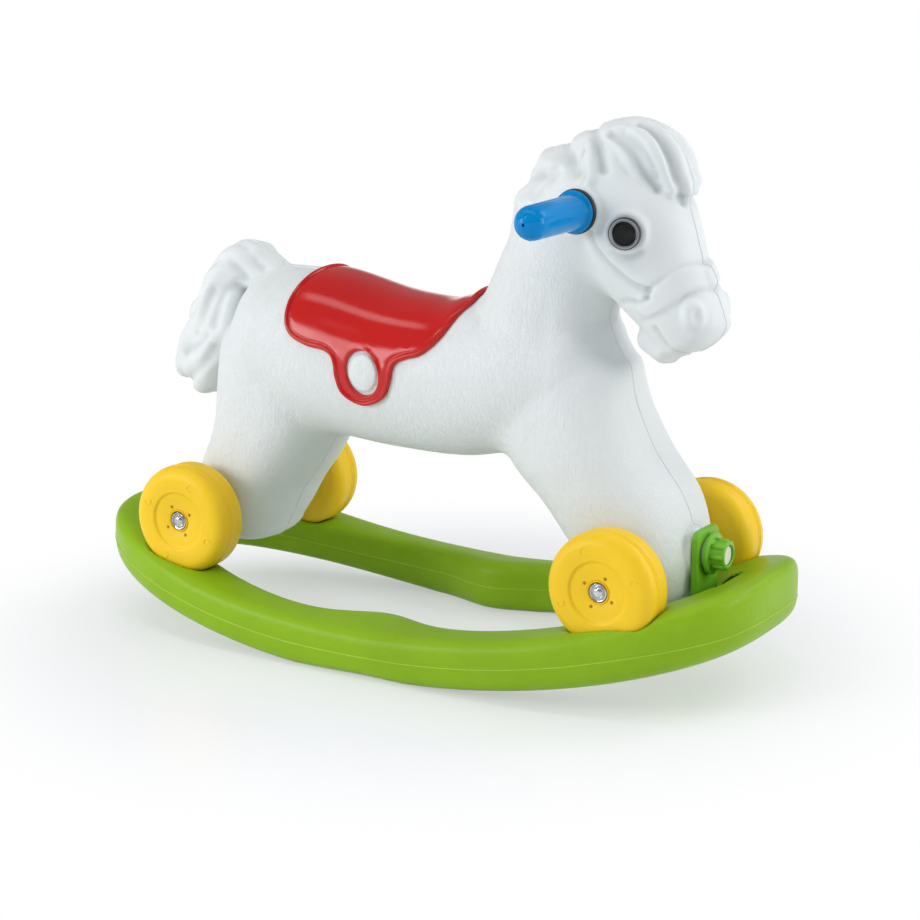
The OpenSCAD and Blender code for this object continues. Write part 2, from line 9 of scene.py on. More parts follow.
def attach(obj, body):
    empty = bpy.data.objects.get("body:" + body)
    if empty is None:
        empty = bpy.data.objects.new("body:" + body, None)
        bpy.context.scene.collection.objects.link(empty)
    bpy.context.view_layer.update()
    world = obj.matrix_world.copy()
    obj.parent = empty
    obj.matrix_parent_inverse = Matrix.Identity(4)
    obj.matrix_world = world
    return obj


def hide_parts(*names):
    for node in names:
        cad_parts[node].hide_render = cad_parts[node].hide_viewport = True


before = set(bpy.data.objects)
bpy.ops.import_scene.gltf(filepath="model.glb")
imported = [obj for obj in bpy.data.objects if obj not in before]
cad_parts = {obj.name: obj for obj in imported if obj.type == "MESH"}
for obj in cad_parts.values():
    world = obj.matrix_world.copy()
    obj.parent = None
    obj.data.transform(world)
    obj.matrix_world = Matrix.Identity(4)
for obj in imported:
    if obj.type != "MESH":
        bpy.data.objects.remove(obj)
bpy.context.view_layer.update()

ROOT = "horse_on_rocker"
RIGHT, LEFT = -1, 1
SIDES = ((RIGHT, "right"), (LEFT, "left"))
ENDS = ((1, "front"), (-1, "rear"))

# Lengths in mm. Horse shapes count from mid wheelbase at axle height, rocker and knobs from the floor.
MM = 0.001
MID_X, AXLE_Z = 4.0, 113.0
HORSE = np.array([MID_X, 0.0, AXLE_Z])
HALF_BASE = 230
HANDLE_X, HANDLE_Z = 168, 324
SADDLE_HOLE_X, SADDLE_HOLE_Z = -46, 158
KNOB_Z = {1: 127, -1: 111}


# Materials

def linear(code):
    rgb = [int(code[i:i + 2], 16) / 255 for i in (1, 3, 5)]
    return [c / 12.92 if c <= 0.04045 else ((c + 0.055) / 1.055) ** 2.4 for c in rgb] + [1.0]


class Wiring:
    """Adds nodes to a tree and links them in one call."""

    def __init__(self, tree):
        self.tree = tree

    def add(self, kind, settings=None, **inputs):
        n = self.tree.nodes.new(kind)
        for key, value in (settings or {}).items():
            setattr(n, key, value)
        for key, value in inputs.items():
            self.put(n.inputs[key.replace("_", " ")], value)
        return n

    def put(self, socket, value):
        if isinstance(value, bpy.types.NodeSocket):
            self.tree.links.new(value, socket)
        else:
            socket.default_value = value

    def fill(self, node, values):
        for socket, value in zip(node.inputs, values):
            self.put(socket, value)
        return node.outputs[0]

    def math(self, what, a, b=0.0, clamp=False):
        return self.fill(self.add("ShaderNodeMath", {"operation": what, "use_clamp": clamp}), (a, b))

    def mix(self, fac, a, b):
        n = self.add("ShaderNodeMix", {"data_type": "RGBA"})
        for i, value in ((0, fac), (6, a), (7, b)):
            self.put(n.inputs[i], value)
        return n.outputs[2]

    def ramp(self, value, low, high, to_low=0.0, to_high=1.0):
        n = self.add("ShaderNodeMapRange", {"interpolation_type": "SMOOTHSTEP"})
        return self.fill(n, (value, low, high, to_low, to_high))

    def noise(self, vector, scale, detail, **inputs):
        n = self.add("ShaderNodeTexNoise", Vector=vector, Scale=scale, Detail=detail, **inputs)
        return n.outputs["Fac"]

    def blend(self, fac, a, b, end):
        """Mixes two shaders into the output node of the given kind."""
        both = self.fill(self.add("ShaderNodeMixShader"), (fac, a.outputs[0], b.outputs[0]))
        self.put(self.add(end).inputs["Surface"], both)


def fresh_tree(owner):
    """The emptied node tree of a material or the world."""
    owner.use_nodes = True
    owner.node_tree.nodes.clear()
    return Wiring(owner.node_tree)


def shader_group(name, made, **inputs):
    """A group that takes a vector and the given numbers, and makes one number."""
    tree = bpy.data.node_groups.new(name, "ShaderNodeTree")
    tree.interface.new_socket("Vector", in_out="INPUT", socket_type="NodeSocketVector")
    for label, value in inputs.items():
        tree.interface.new_socket(label, in_out="INPUT", socket_type="NodeSocketFloat").default_value = value
    tree.interface.new_socket(made, in_out="OUTPUT", socket_type="NodeSocketFloat")
    return Wiring(tree), tree.nodes.new("NodeGroupInput").outputs, tree.nodes.new("NodeGroupOutput").inputs[0]


def make_moulding_grain():
    w, given, out = shader_group("moulding_grain", "Height", Size=400.0, Warp=0.4)
    coarse = w.noise(given["Vector"], given["Size"], 3.0, Roughness=0.55, Distortion=given["Warp"])
    crease = w.ramp(w.math("ABSOLUTE", w.math("SUBTRACT", coarse, 0.5)), 0.0, 0.11)
    fine = w.noise(given["Vector"], w.math("MULTIPLY", given["Size"], 2.6), 2.0, Roughness=0.5)
    w.put(out, w.math("ADD", w.math("MULTIPLY", crease, 0.7), w.math("MULTIPLY", fine, 0.45)))
    return w.tree


def make_colour_drift():
    w, given, out = shader_group("colour_drift", "Mask", Size=9.0)
    w.put(out, w.ramp(w.noise(given["Vector"], given["Size"], 4.0, Roughness=0.6), 0.32, 0.68))
    return w.tree


def make_play_scuffs():
    w, given, out = shader_group("play_scuffs", "Mask", Size=60.0, Amount=0.3)
    drawn = w.add("ShaderNodeVectorMath", {"operation": "MULTIPLY"})
    drawn = w.fill(drawn, (given["Vector"], (1.0, 1.0, 5.0)))
    streak = w.noise(drawn, given["Size"], 5.0, Roughness=0.7, Distortion=0.6)
    patch = w.noise(given["Vector"], 14.0, 2.0)
    mark = w.math("MULTIPLY", w.ramp(streak, 0.58, 0.7), w.ramp(patch, 0.48, 0.7))
    w.put(out, w.math("MULTIPLY", mark, given["Amount"], True))
    return w.tree


def make_edge_wear():
    w, given, out = shader_group("edge_wear", "Mask", Amount=0.3)
    edge = w.ramp(w.add("ShaderNodeNewGeometry").outputs["Pointiness"], 0.52, 0.6)
    broken = w.ramp(w.noise(given["Vector"], 120.0, 4.0, Roughness=0.7), 0.35, 0.65)
    w.put(out, w.math("MULTIPLY", w.math("MULTIPLY", edge, broken), given["Amount"], True))
    return w.tree


def make_floor_dust():
    w, given, out = shader_group("floor_dust", "Mask", Height=0.05, Amount=0.1)
    up = w.add("ShaderNodeSeparateXYZ", Vector=given["Vector"]).outputs["Z"]
    speck = w.ramp(w.noise(given["Vector"], 70.0, 5.0, Roughness=0.75), 0.42, 0.62)
    dusty = w.math("MULTIPLY", w.ramp(up, 0.0, given["Height"], 1.0, 0.0), speck)
    w.put(out, w.math("MULTIPLY", dusty, given["Amount"], True))
    return w.tree


# Painted shade: the grey tone that the grooves and hollows of the white body are darkened towards.
GROOVE_SHADE_TONE = "#a5adae"
DUST_TONE = "#b9b4a8"
GRAIN = make_moulding_grain()
DRIFT = make_colour_drift()
SCUFFS = make_play_scuffs()
WEAR = make_edge_wear()
DUST = make_floor_dust()


def finish(name, colour, rough, grain=700.0, depth=0.03, stretch=(1, 1, 1), warp=0.4, drift=0.05, scuff=0.2,
           wear=0.2, dust=0.0, worn=None, grain_and_groove_shade=False, spec=0.5, **shader):
    """A moulded or metal finish. depth is the grain's height; relief reads two attributes of the mesh, one
    that darkens grooves and hollows towards a grey tone as painted shade and one that scales the grain.
    """
    mat = bpy.data.materials.new(name)
    w = fresh_tree(mat)
    bsdf = w.add("ShaderNodeBsdfPrincipled", Specular_IOR_Level=spec, **shader)
    w.put(w.add("ShaderNodeOutputMaterial").inputs["Surface"], bsdf.outputs[0])
    here = w.add("ShaderNodeTexCoord").outputs["Object"]
    drawn = w.add("ShaderNodeMapping", Vector=here, Scale=stretch).outputs[0]

    def group(made, vector, **inputs):
        return w.add("ShaderNodeGroup", {"node_tree": made}, Vector=vector, **inputs).outputs[0]

    def told(attribute):
        return w.add("ShaderNodeAttribute", {"attribute_name": attribute}).outputs["Fac"]

    base = linear(colour)
    deep = [c * (1 - 2.2 * drift) for c in base[:3]] + [1.0]
    pale = linear(worn) if worn else [min(1.0, c * 1.12 + 0.03) for c in base[:3]] + [1.0]
    cloud = group(DRIFT, here)
    mark = group(SCUFFS, here, Amount=scuff)
    edge = group(WEAR, here, Amount=wear)
    dusty = group(DUST, here, Amount=dust)
    tint = w.mix(cloud, base, deep)
    tint = w.mix(w.math("MAXIMUM", w.math("MULTIPLY", mark, 0.5), edge), tint, pale)
    tint = w.mix(dusty, tint, linear(DUST_TONE))
    height = group(GRAIN, drawn, Size=grain, Warp=warp)
    if grain_and_groove_shade:
        # Painted shade: darkens grooves and hollows towards the grey groove tone.
        tint = w.mix(w.math("MULTIPLY", told("groove_shade"), 0.5), tint, linear(GROOVE_SHADE_TONE))
        height = w.math("MULTIPLY", height, told("grain"))
    w.put(bsdf.inputs["Base Color"], tint)
    dull = w.math("ADD", w.math("MULTIPLY", cloud, 0.05), rough)
    dull = w.math("ADD", w.math("MULTIPLY", mark, 0.22), dull)
    w.put(bsdf.inputs["Roughness"], w.math("ADD", w.math("MULTIPLY", dusty, 0.3), dull, True))
    bump = w.add("ShaderNodeBump", Strength=1.0, Distance=depth * MM, Height=height)
    w.put(bsdf.inputs["Normal"], bump.outputs[0])
    return mat


WHITE = finish("white_body_plastic", "#e1e5e4", 0.48, grain=330.0, depth=0.3, stretch=(1.0, 1.0, 0.35),
               warp=0.6, drift=0.012, scuff=0.08, wear=0.06, dust=0.04, worn="#f4f5f3", grain_and_groove_shade=True,
               spec=0.35, IOR=1.46)
RED = finish("red_saddle_gloss", "#c41c19", 0.09, depth=0.012, drift=0.03, worn="#d6463e", spec=0.4, IOR=1.5)
BLUE = finish("blue_grip_gloss", "#0083c6", 0.12, grain=600.0, depth=0.015, drift=0.04, worn="#2f9bd8",
              spec=0.14, IOR=1.5)
YELLOW = finish("yellow_wheel_plastic", "#f7cb20", 0.4, grain=420.0, depth=0.05, drift=0.03, scuff=0.3,
                wear=0.25, worn="#f8d960", spec=0.3, IOR=1.48)
HUB = finish("yellow_hub_plastic", "#f3c41c", 0.42, grain=500.0, drift=0.04, spec=0.3)
GREEN = finish("green_rocker_plastic", "#8eb71b", 0.32, grain=300.0, depth=0.1, stretch=(1.0, 1.0, 0.6),
               warp=0.5, scuff=0.25, worn="#a9cc45", spec=0.2, IOR=1.47)
# Painted highlight: the rocker's mould lines are a lighter green for the light they catch along the ridge;
# the ridge itself is real.
RIDGE_HIGHLIGHT = finish("green_mould_line_highlight", "#abcb3c", 0.3, grain=300.0, depth=0.05, drift=0.06, wear=0.3,
              worn="#c0d85c", spec=0.2)
# Painted shade: a darker copy of the rocker green for the walls inside the knob pockets.
POCKET_SHADE = finish("shaded_pocket_green", "#3d701a", 0.5, grain=300.0, depth=0.1, drift=0.08, scuff=0.1,
                wear=0.0, spec=0.05)
LEAF = finish("green_fixing_plastic", "#74b92c", 0.34, grain=520.0, drift=0.04, wear=0.3, worn="#86bd4c",
              spec=0.35, IOR=1.48)
# Painted shade: a darker yellow for the small pips on the wheel faces.
PIP_SHADE = finish("shaded_wheel_pips", "#b0800a", 0.5, grain=500.0, scuff=0.1, spec=0.2)
NYLON = finish("white_nylon", "#eceae2", 0.36, grain=600.0, drift=0.03, scuff=0.25)
STEEL = finish("bright_steel", "#b4b7bb", 0.24, grain=900.0, depth=0.01, stretch=(1, 0.1, 1), drift=0.06,
               scuff=0.4, worn="#d9dbde", Metallic=1.0)
CHROME = finish("chromed_cap", "#c9cbce", 0.1, depth=0.006, drift=0.08, scuff=0.35, worn="#e4e5e7",
                Metallic=1.0)
# Painted shade: a dark ring for the shade in the gap where each grip meets the head.
GRIP_GAP_SHADE = finish("dark_grip_gap_shade", "#2d3134", 0.5)
BEZEL = finish("dark_eye_ring", "#34383b", 0.3, depth=0.01, scuff=0.15)
IRIS = finish("silver_eye_ring", "#c0c4c7", 0.3, depth=0.01, scuff=0.1)
PUPIL = finish("black_pupil", "#020203", 0.3, depth=0.008, scuff=0.1, spec=0.1)
LENS = finish("clear_eye_dome", "#ffffff", 0.02, grain=900.0, depth=0.002, drift=0.0, scuff=0.1, wear=0.0,
              IOR=1.2, Transmission_Weight=1.0)


# Pieces

def placed(name, data):
    """A scene object of a mesh, lamp or camera."""
    obj = bpy.data.objects.new(name, data)
    bpy.context.scene.collection.objects.link(obj)
    return obj


def applied(obj):
    """The mesh of an object with its modifiers applied."""
    return bpy.data.meshes.new_from_object(obj.evaluated_get(bpy.context.evaluated_depsgraph_get()))


def new_piece(name, points, faces, mats, face_mats=None, sharp=None):
    """A mesh piece from points in mm, in the shared frame."""
    mesh = bpy.data.meshes.new(name)
    mesh.from_pydata((np.asarray(points, float) * MM).tolist(), [], [list(map(int, f)) for f in faces])
    for m in mats:
        mesh.materials.append(m)
    if face_mats is not None:
        mesh.polygons.foreach_set("material_index", np.asarray(face_mats, np.int32))
    mesh.shade_smooth()
    if sharp:
        mesh.set_sharp_from_angle(angle=math.radians(sharp))
    return placed(name, mesh)


def seat_piece(obj, body, slot, *nodes):
    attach(obj, body)
    if nodes:
        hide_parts(*nodes)


def axes_along(axis):
    """Three directions with the last one along the axis."""
    w = np.asarray(axis, float) / np.linalg.norm(axis)
    u = np.cross([0.0, 0.0, 1.0], w)
    u = np.array([1.0, 0.0, 0.0]) if np.linalg.norm(u) < 1e-6 else u / np.linalg.norm(u)
    return u, np.cross(w, u), w


def circle(angles, axis, r):
    """Points at a radius round an axis."""
    u, v, _ = axes_along(axis)
    return r * (np.outer(np.cos(angles), u) + np.outer(np.sin(angles), v))


def turned(profile, origin, axis, n=96):
    """Turns a profile of radius and height about an axis; a zero radius closes it."""
    w = axes_along(axis)[2]
    points, rows = [], []
    t = np.linspace(0, 2 * np.pi, n, endpoint=False)
    for r, h in profile:
        start = len(points)
        if r < 1e-6:
            points.append(np.asarray(origin) + w * h)
            rows.append([start] * n)
        else:
            points.extend(np.asarray(origin) + w * h + circle(t, axis, r))
            rows.append(list(range(start, start + n)))
    faces, band = [], []
    for i, (a, b) in enumerate(zip(rows[:-1], rows[1:])):
        for j in range(n):
            k = (j + 1) % n
            loop = [a[j], a[k], b[k], b[j]]
            loop = [p for q, p in enumerate(loop) if p != loop[q - 1]]
            if len(loop) > 2:
                faces.append(loop)
                band.append(i)
    return np.array(points), faces, band


def turned_piece(name, profile, origin, axis, mat, sharp, place, n=96):
    """Seats a turned piece of one finish; place is its body, its slot, which is not used, and the node that
    it replaces.
    """
    points, faces, _ = turned(profile, origin, axis, n)
    seat_piece(new_piece(name, points, faces, [mat], sharp=sharp), *place)


def arc(cr, ch, r, a0, a1, n):
    """Profile points on an arc about radius cr and height ch, angles in degrees."""
    return [(cr + r * math.cos(a), ch + r * math.sin(a)) for a in np.radians(np.linspace(a0, a1, n))]


def gather(parts):
    """Several sets of points and faces as one."""
    points, faces, base = [], [], 0
    for p, f in parts:
        points.append(p)
        faces.extend([[i + base for i in face] for face in f])
        base += len(p)
    return np.vstack(points), faces


# Node trees for what repeats or follows a line

def geometry_tree(name, **inputs):
    """A node tree that takes a geometry, the given numbers and a finish."""
    tree = bpy.data.node_groups.new(name, "GeometryNodeTree")
    socket = tree.interface.new_socket
    socket("Geometry", in_out="INPUT", socket_type="NodeSocketGeometry")
    for label, value in inputs.items():
        kind = "NodeSocketInt" if isinstance(value, int) else "NodeSocketFloat"
        socket(label.replace("_", " "), in_out="INPUT", socket_type=kind).default_value = value
    socket("Finish", in_out="INPUT", socket_type="NodeSocketMaterial")
    socket("Geometry", in_out="OUTPUT", socket_type="NodeSocketGeometry")
    return Wiring(tree), tree.nodes.new("NodeGroupInput").outputs, tree.nodes.new("NodeGroupOutput").inputs


def close_tree(w, shape, given, out):
    smooth = w.add("GeometryNodeSetShadeSmooth", Geometry=shape)
    real = w.add("GeometryNodeRealizeInstances", Geometry=smooth.outputs[0])
    done = w.add("GeometryNodeSetMaterial", Geometry=real.outputs[0], Material=given["Finish"])
    w.put(out["Geometry"], done.outputs[0])
    return w.tree


def tube_along(w, line, sides, radius, caps):
    section = w.add("GeometryNodeCurvePrimitiveCircle", Resolution=sides, Radius=radius)
    tube = w.add("GeometryNodeCurveToMesh", Curve=line, Profile_Curve=section.outputs[0], Fill_Caps=caps)
    return tube.outputs[0]


def on_ring(w, given, shape, **how):
    """Copies of a shape evenly round a ring, from the start turn."""
    ring = w.add("GeometryNodeMeshCircle", Vertices=given["Count"], Radius=given["Ring Radius"])
    turn = w.add("ShaderNodeCombineXYZ", Z=given["Start Turn"])
    spots = w.add("GeometryNodeTransform", Geometry=ring.outputs[0], Rotation=turn.outputs[0])
    return w.add("GeometryNodeInstanceOnPoints", Points=spots.outputs[0], Instance=shape, **how).outputs[0]


def make_moulding_line():
    w, given, out = geometry_tree("moulding_line", Ridge_Radius=0.0005, Sides=8)
    line = w.add("GeometryNodeMeshToCurve", Mesh=given["Geometry"]).outputs[0]
    return close_tree(w, tube_along(w, line, given["Sides"], given["Ridge Radius"], True), given, out)


def make_grip_ribs():
    w, given, out = geometry_tree("grip_ribs", Count=8, Ring_Radius=0.013, Rib_Radius=0.0025,
                                  Rib_Length=0.012, Start_Turn=0.0)
    rib = w.add("GeometryNodeMeshCylinder", Vertices=14, Radius=given["Rib Radius"],
                Depth=given["Rib Length"])
    return close_tree(w, on_ring(w, given, rib.outputs[0]), given, out)


def make_face_pips():
    w, given, out = geometry_tree("face_pips", Count=4, Ring_Radius=0.017, Pip_Radius=0.0013, Start_Turn=0.6)
    pip = w.add("GeometryNodeMeshUVSphere", Segments=16, Rings=8, Radius=given["Pip Radius"])
    return close_tree(w, on_ring(w, given, pip.outputs[0], Scale=(1.0, 1.0, 0.55)), given, out)


def make_face_crescents():
    w, given, out = geometry_tree("face_crescents", Count=4, Ring_Radius=0.041, Mark_Radius=0.0032,
                                  Line_Radius=0.0005, Start_Turn=0.2)
    mark = w.add("GeometryNodeCurveArc", Resolution=14, Radius=given["Mark Radius"],
                 Sweep_Angle=math.radians(210))
    tube = tube_along(w, mark.outputs[0], 6, given["Line Radius"], False)
    quarters = w.math("MULTIPLY", w.add("GeometryNodeInputIndex").outputs[0], math.pi / 2)
    spin = w.add("ShaderNodeCombineXYZ", Z=quarters)
    return close_tree(w, on_ring(w, given, tube, Rotation=spin.outputs[0]), given, out)


MOULDING_LINE = make_moulding_line()
GRIP_RIBS = make_grip_ribs()
FACE_PIPS = make_face_pips()
FACE_CRESCENTS = make_face_crescents()


def grown(tree, mesh, **values):
    """The plain mesh that a node tree makes from a start mesh."""
    obj = placed("grown", mesh)
    mod = obj.modifiers.new("nodes", "NODES")
    mod.node_group = tree
    names = {i.name: i.identifier for i in tree.interface.items_tree if i.in_out == "INPUT"}
    for key, value in values.items():
        mod[names[key.replace("_", " ")]] = value
    made = applied(obj)
    bpy.data.objects.remove(obj)
    return made


def seat_ridges(name, lines, radius, mat, place, closed=False):
    """Seats thin raised mould lines along lists of points in mm."""
    points, edges = [], []
    for line in lines:
        start, n = len(points), len(line)
        points.extend((np.asarray(line, float) * MM).tolist())
        edges.extend([(start + i, start + (i + 1) % n) for i in range(n if closed else n - 1)])
    mesh = bpy.data.meshes.new(name)
    mesh.from_pydata(points, edges, [])
    ridges = grown(MOULDING_LINE, mesh, Ridge_Radius=radius * MM, Sides=8, Finish=mat)
    seat_piece(placed(name, ridges), *place)


def seat_ring(name, tree, origin, axis, place, **values):
    """Seats what a node tree makes round +Z on an axis through a point in mm."""
    mesh = grown(tree, bpy.data.meshes.new(tree.name), **values)
    u, v, w = axes_along(axis)
    o = np.asarray(origin, float) * MM
    mesh.transform(Matrix([[u[i], v[i], w[i], o[i]] for i in range(3)] + [[0, 0, 0, 1]]))
    seat_piece(placed(name, mesh), *place)


# Distance fields for the two large mouldings

def curve_through(stations, k):
    st = np.asarray(stations, float)
    ends = np.vstack([2 * st[0] - st[1], st, 2 * st[-1] - st[-2]])
    t = (np.arange(k) / k)[:, None]
    rows = []
    for i in range(len(st) - 1):
        a, b, c, d = ends[i:i + 4]
        rows.append(0.5 * (2 * b + (c - a) * t + (2 * a - 5 * b + 4 * c - d) * t * t
                           + (3 * b - a - 3 * c + d) * t ** 3))
    return np.vstack(rows + [st[-1:]])


class Block:
    """A block of evenly spaced points that fields are worked out on."""

    def __init__(self, low, high, step):
        self.low = np.array(low, float)
        self.step = step
        self.count = np.ceil((np.array(high, float) - self.low) / step).astype(int) + 1
        axes = [(self.low[i] + step * np.arange(self.count[i])).astype(np.float32) for i in range(3)]
        self.x = axes[0][:, None, None]
        self.y = axes[1][None, :, None]
        self.z = axes[2][None, None, :]

    def near(self, points, reach):
        p = np.asarray(points, float)
        a = np.maximum(np.floor((p.min(0) - reach - self.low) / self.step), 0).astype(int)
        b = np.minimum(np.ceil((p.max(0) + reach - self.low) / self.step) + 1, self.count).astype(int)
        return tuple(slice(i, j) for i, j in zip(a, b))

    def axes(self, box):
        return self.x[box[0]], self.y[:, box[1]], self.z[:, :, box[2]]

    def sample(self, field, points):
        q = (np.asarray(points) - self.low) / self.step
        i = np.clip(np.floor(q).astype(int), 0, self.count - 2)
        f = np.clip(q - i, 0, 1)
        total = 0
        for c in np.ndindex(2, 2, 2):
            share = np.prod(np.where(c, f, 1 - f), axis=1)
            total = total + share * field[tuple((i + c).T)]
        return total


BODY_ROUNDNESS = 2.3


def limb(block, stations, dome0, dome1, roundness=BODY_ROUNDNESS):
    """Field of a limb through stations of x, z, direction, half width and half depth."""
    st = curve_through(stations, 24)
    turn = np.radians(st[:, 2])
    length = np.hypot(np.gradient(st[:, 0]), np.gradient(st[:, 1]))
    slope_y = np.gradient(st[:, 3]) / length
    slope_n = np.gradient(st[:, 4]) / length
    x, z = block.x[:, 0, :], block.z[0]
    shape = np.broadcast_shapes(x.shape, z.shape)
    best = np.full(shape, 1e9)
    out, over = np.zeros(shape), np.zeros(shape)
    half_y, half_n = np.ones(shape), np.ones(shape)
    last = len(st) - 1
    for i, s in enumerate(st):
        along = (x - s[0]) * np.cos(turn[i]) + (z - s[1]) * np.sin(turn[i])
        across = (z - s[1]) * np.cos(turn[i]) - (x - s[0]) * np.sin(turn[i])
        score = np.abs(along) + 0.3 * np.abs(across)
        win = score < best
        best = np.where(win, score, best)
        step = np.clip(along, -3 if i else 0, 3 if i < last else 0)
        out = np.where(win, across, out)
        over = np.where(win, along - step, over)
        half_y = np.where(win, s[3] + step * slope_y[i], half_y)
        half_n = np.where(win, s[4] + step * slope_n[i], half_n)
    dome = np.where(over < 0, dome0, dome1)
    y = np.abs(block.y)
    n, hn, hy, tip, far = (a[:, None, :].astype(np.float32) for a in (out, half_n, half_y, over / dome, over))
    q = ((y / hy) ** roundness + np.abs(n / hn) ** roundness) ** (1 / roundness)
    f = np.maximum(np.sqrt(q * q + tip * tip), 1e-3)
    reach = np.sqrt(y * y + n * n + far * far)
    return np.clip(reach - reach / f, -40, 60).astype(np.float32)


def merge(a, b, k):
    h = np.maximum(k - np.abs(a - b), 0) / k
    return np.minimum(a, b) - h * h * k / 4


def merge_by_angle(a, b, k):
    """A soft join that leaves faces alone where both run the same way."""
    ga, gb = np.gradient(a), np.gradient(b)
    dot = sum(p * q for p, q in zip(ga, gb))
    size = np.sqrt(sum(p * p for p in ga) * sum(q * q for q in gb)) + 1e-6
    t = np.clip((1 - dot / size) / 0.8, 0, 1)
    return merge(a, b, k * t * t * (3 - 2 * t) + 0.5)


def cut(a, b, k):
    return -merge(-a, b, k)


def soften(a, times):
    for _ in range(times):
        for axis in range(3):
            p = np.concatenate([a.take([0], axis), a, a.take([-1], axis)], axis)
            n = a.shape[axis]
            a = 0.25 * p.take(range(n), axis) + 0.5 * a + 0.25 * p.take(range(2, n + 2), axis)
    return a


def path_distance(block, box, path):
    """Distance to a path of points; a fourth value is a radius taken off."""
    x, y, z = block.axes(box)
    best = None
    for a, b in zip(path[:-1], path[1:]):
        d = (b - a).astype(np.float32)
        t = ((x - a[0]) * d[0] + (y - a[1]) * d[1] + (z - a[2]) * d[2]) / max(float(d[:3] @ d[:3]), 1e-6)
        t = np.clip(t, 0, 1)
        g = np.sqrt((x - a[0] - t * d[0]) ** 2 + (y - a[1] - t * d[1]) ** 2 + (z - a[2] - t * d[2]) ** 2)
        if len(a) > 3:
            g = g - a[3] - t * d[3]
        best = g if best is None else np.minimum(best, g)
    return best


def both_sides(path):
    p = np.asarray(path, float)
    q = p.copy()
    q[:, 1] = -q[:, 1]
    return p, q


def emboss(field, block, path, width, height, flat=0.0):
    """Raises the skin along a path on both sides, or sinks it with a height below zero."""
    path, _ = skin_under(field, block, curve_through(path, 3))
    for p in both_sides(path):
        box = block.near(p, width * 2.2 + flat)
        g = np.maximum(path_distance(block, box, p) - flat, 0)
        field[box] -= height * np.exp(-(g / width) ** 2)


def lock(field, block, path, k):
    """Adds a tapering lock of hair on both sides; the fourth value of a point is its radius."""
    for p in both_sides(path):
        box = block.near(p[:, :3], p[:, 3].max() + 2 * k)
        field[box] = merge(field[box], path_distance(block, box, p), k)


def rod(block, origin, axis, radius, low, high):
    """Field of a short cylinder from low to high along an axis."""
    w = np.asarray(axis, float)
    dx, dy, dz = block.x - origin[0], block.y - origin[1], block.z - origin[2]
    along = dx * w[0] + dy * w[1] + dz * w[2]
    out = np.sqrt(np.maximum(dx * dx + dy * dy + dz * dz - along * along, 0)) - radius
    return np.maximum(out, np.maximum(along - high, low - along)).astype(np.float32)


def skin(field, block):
    """Points and four-sided faces of the surface where the field is zero."""
    inside = field < 0
    nx, ny, nz = field.shape
    cells = sum(inside[i:i + nx - 1, j:j + ny - 1, k:k + nz - 1].astype(np.int8)
                for i, j, k in np.ndindex(2, 2, 2))
    busy = np.argwhere((cells > 0) & (cells < 8))
    number = np.full(cells.shape, -1)
    number[tuple(busy.T)] = np.arange(len(busy))
    spot, hits = np.zeros((len(busy), 3)), np.zeros((len(busy), 1))
    for a in np.ndindex(2, 2, 2):
        for axis in range(3):
            if a[axis]:
                continue
            b = np.array(a)
            b[axis] = 1
            va, vb = field[tuple((busy + a).T)], field[tuple((busy + b).T)]
            cross = (va < 0) != (vb < 0)
            t = np.where(cross, va / np.where(cross, va - vb, 1), 0)[:, None]
            spot += np.where(cross[:, None], a + t * (b - a), 0)
            hits += cross[:, None]
    points = block.low + block.step * (busy + spot / hits)
    quads = []
    for axis in range(3):
        u, v = (axis + 1) % 3, (axis + 2) % 3
        ahead, back = [slice(None)] * 3, [slice(None)] * 3
        ahead[axis], back[axis] = slice(1, None), slice(None, -1)
        edge = np.argwhere(inside[tuple(ahead)] != inside[tuple(back)])
        du, dv = np.eye(3, dtype=int)[u], np.eye(3, dtype=int)[v]
        ring = [number[tuple(c.T)] for c in (edge - du - dv, edge - dv, edge, edge - du)]
        quad = np.stack(ring, 1)
        start = inside[tuple(edge.T)]
        quads.append(np.where(start[:, None], quad, quad[:, ::-1]))
    return points, np.vstack(quads)


def settle(field, block, points, off=0.0, times=3):
    """Moves points onto the surface that lies off mm outside the zero surface."""
    slopes = np.gradient(field, block.step)
    for _ in range(times):
        d = block.sample(field, points) - off
        g = np.stack([block.sample(s, points) for s in slopes], 1)
        move = g * (d / np.maximum((g * g).sum(1), 0.05))[:, None]
        size = np.linalg.norm(move, axis=1, keepdims=True)
        points = points - move * np.minimum(1, 1.5 / np.maximum(size, 1e-9))
    return points


# Horse body

TORSO = [[-178, 157, 0, 72, 81], [-120, 159, 0, 75, 78], [-40, 149, 0, 72, 73], [40, 149, 0, 70, 72],
         [105, 166, 0, 69, 73], [145, 167, 0, 64, 71]]
HIND_LEG = [[-175, 149, -98, 70, 66], [-179, 111, -103, 72, 66], [-192, 67, -107, 74, 56],
            [-213, 28, -106, 74, 50], [-226, -2, -98, 66, 50], [-229, -20, -94, 55, 45]]
FORE_LEG = [[135, 157, -72, 64, 66], [147, 115, -62, 70, 65], [177, 75, -60, 74, 55], [207, 36, -64, 75, 54],
            [223, 0, -74, 68, 48], [228, -21, -84, 55, 41]]
LEG_ROUNDNESS = 2.6
NECK = [[112, 192, 62, 62, 70], [116, 232, 70, 58, 58], [130, 272, 74, 54, 55], [148, 312, 68, 50, 54],
        [160, 339, 60, 46, 48]]
HEAD = [[170, 347, -40, 46, 44], [188, 323, -48, 50, 54], [206, 299, -53, 50, 56], [231, 257, -56, 42, 44],
        [253, 229, -58, 38, 36], [262, 215, -62, 34, 32]]
CHIN = [[222, 209, -40, 22, 16], [236, 199, -20, 24, 14]]
MANE = [[88, 275, 75, 14, 18], [104, 317, 68, 22, 24], [126, 344, 46, 27, 26], [162, 365, 26, 30, 27],
        [197, 373, 0, 32, 30], [220, 363, -45, 32, 28], [236, 345, -72, 26, 21]]
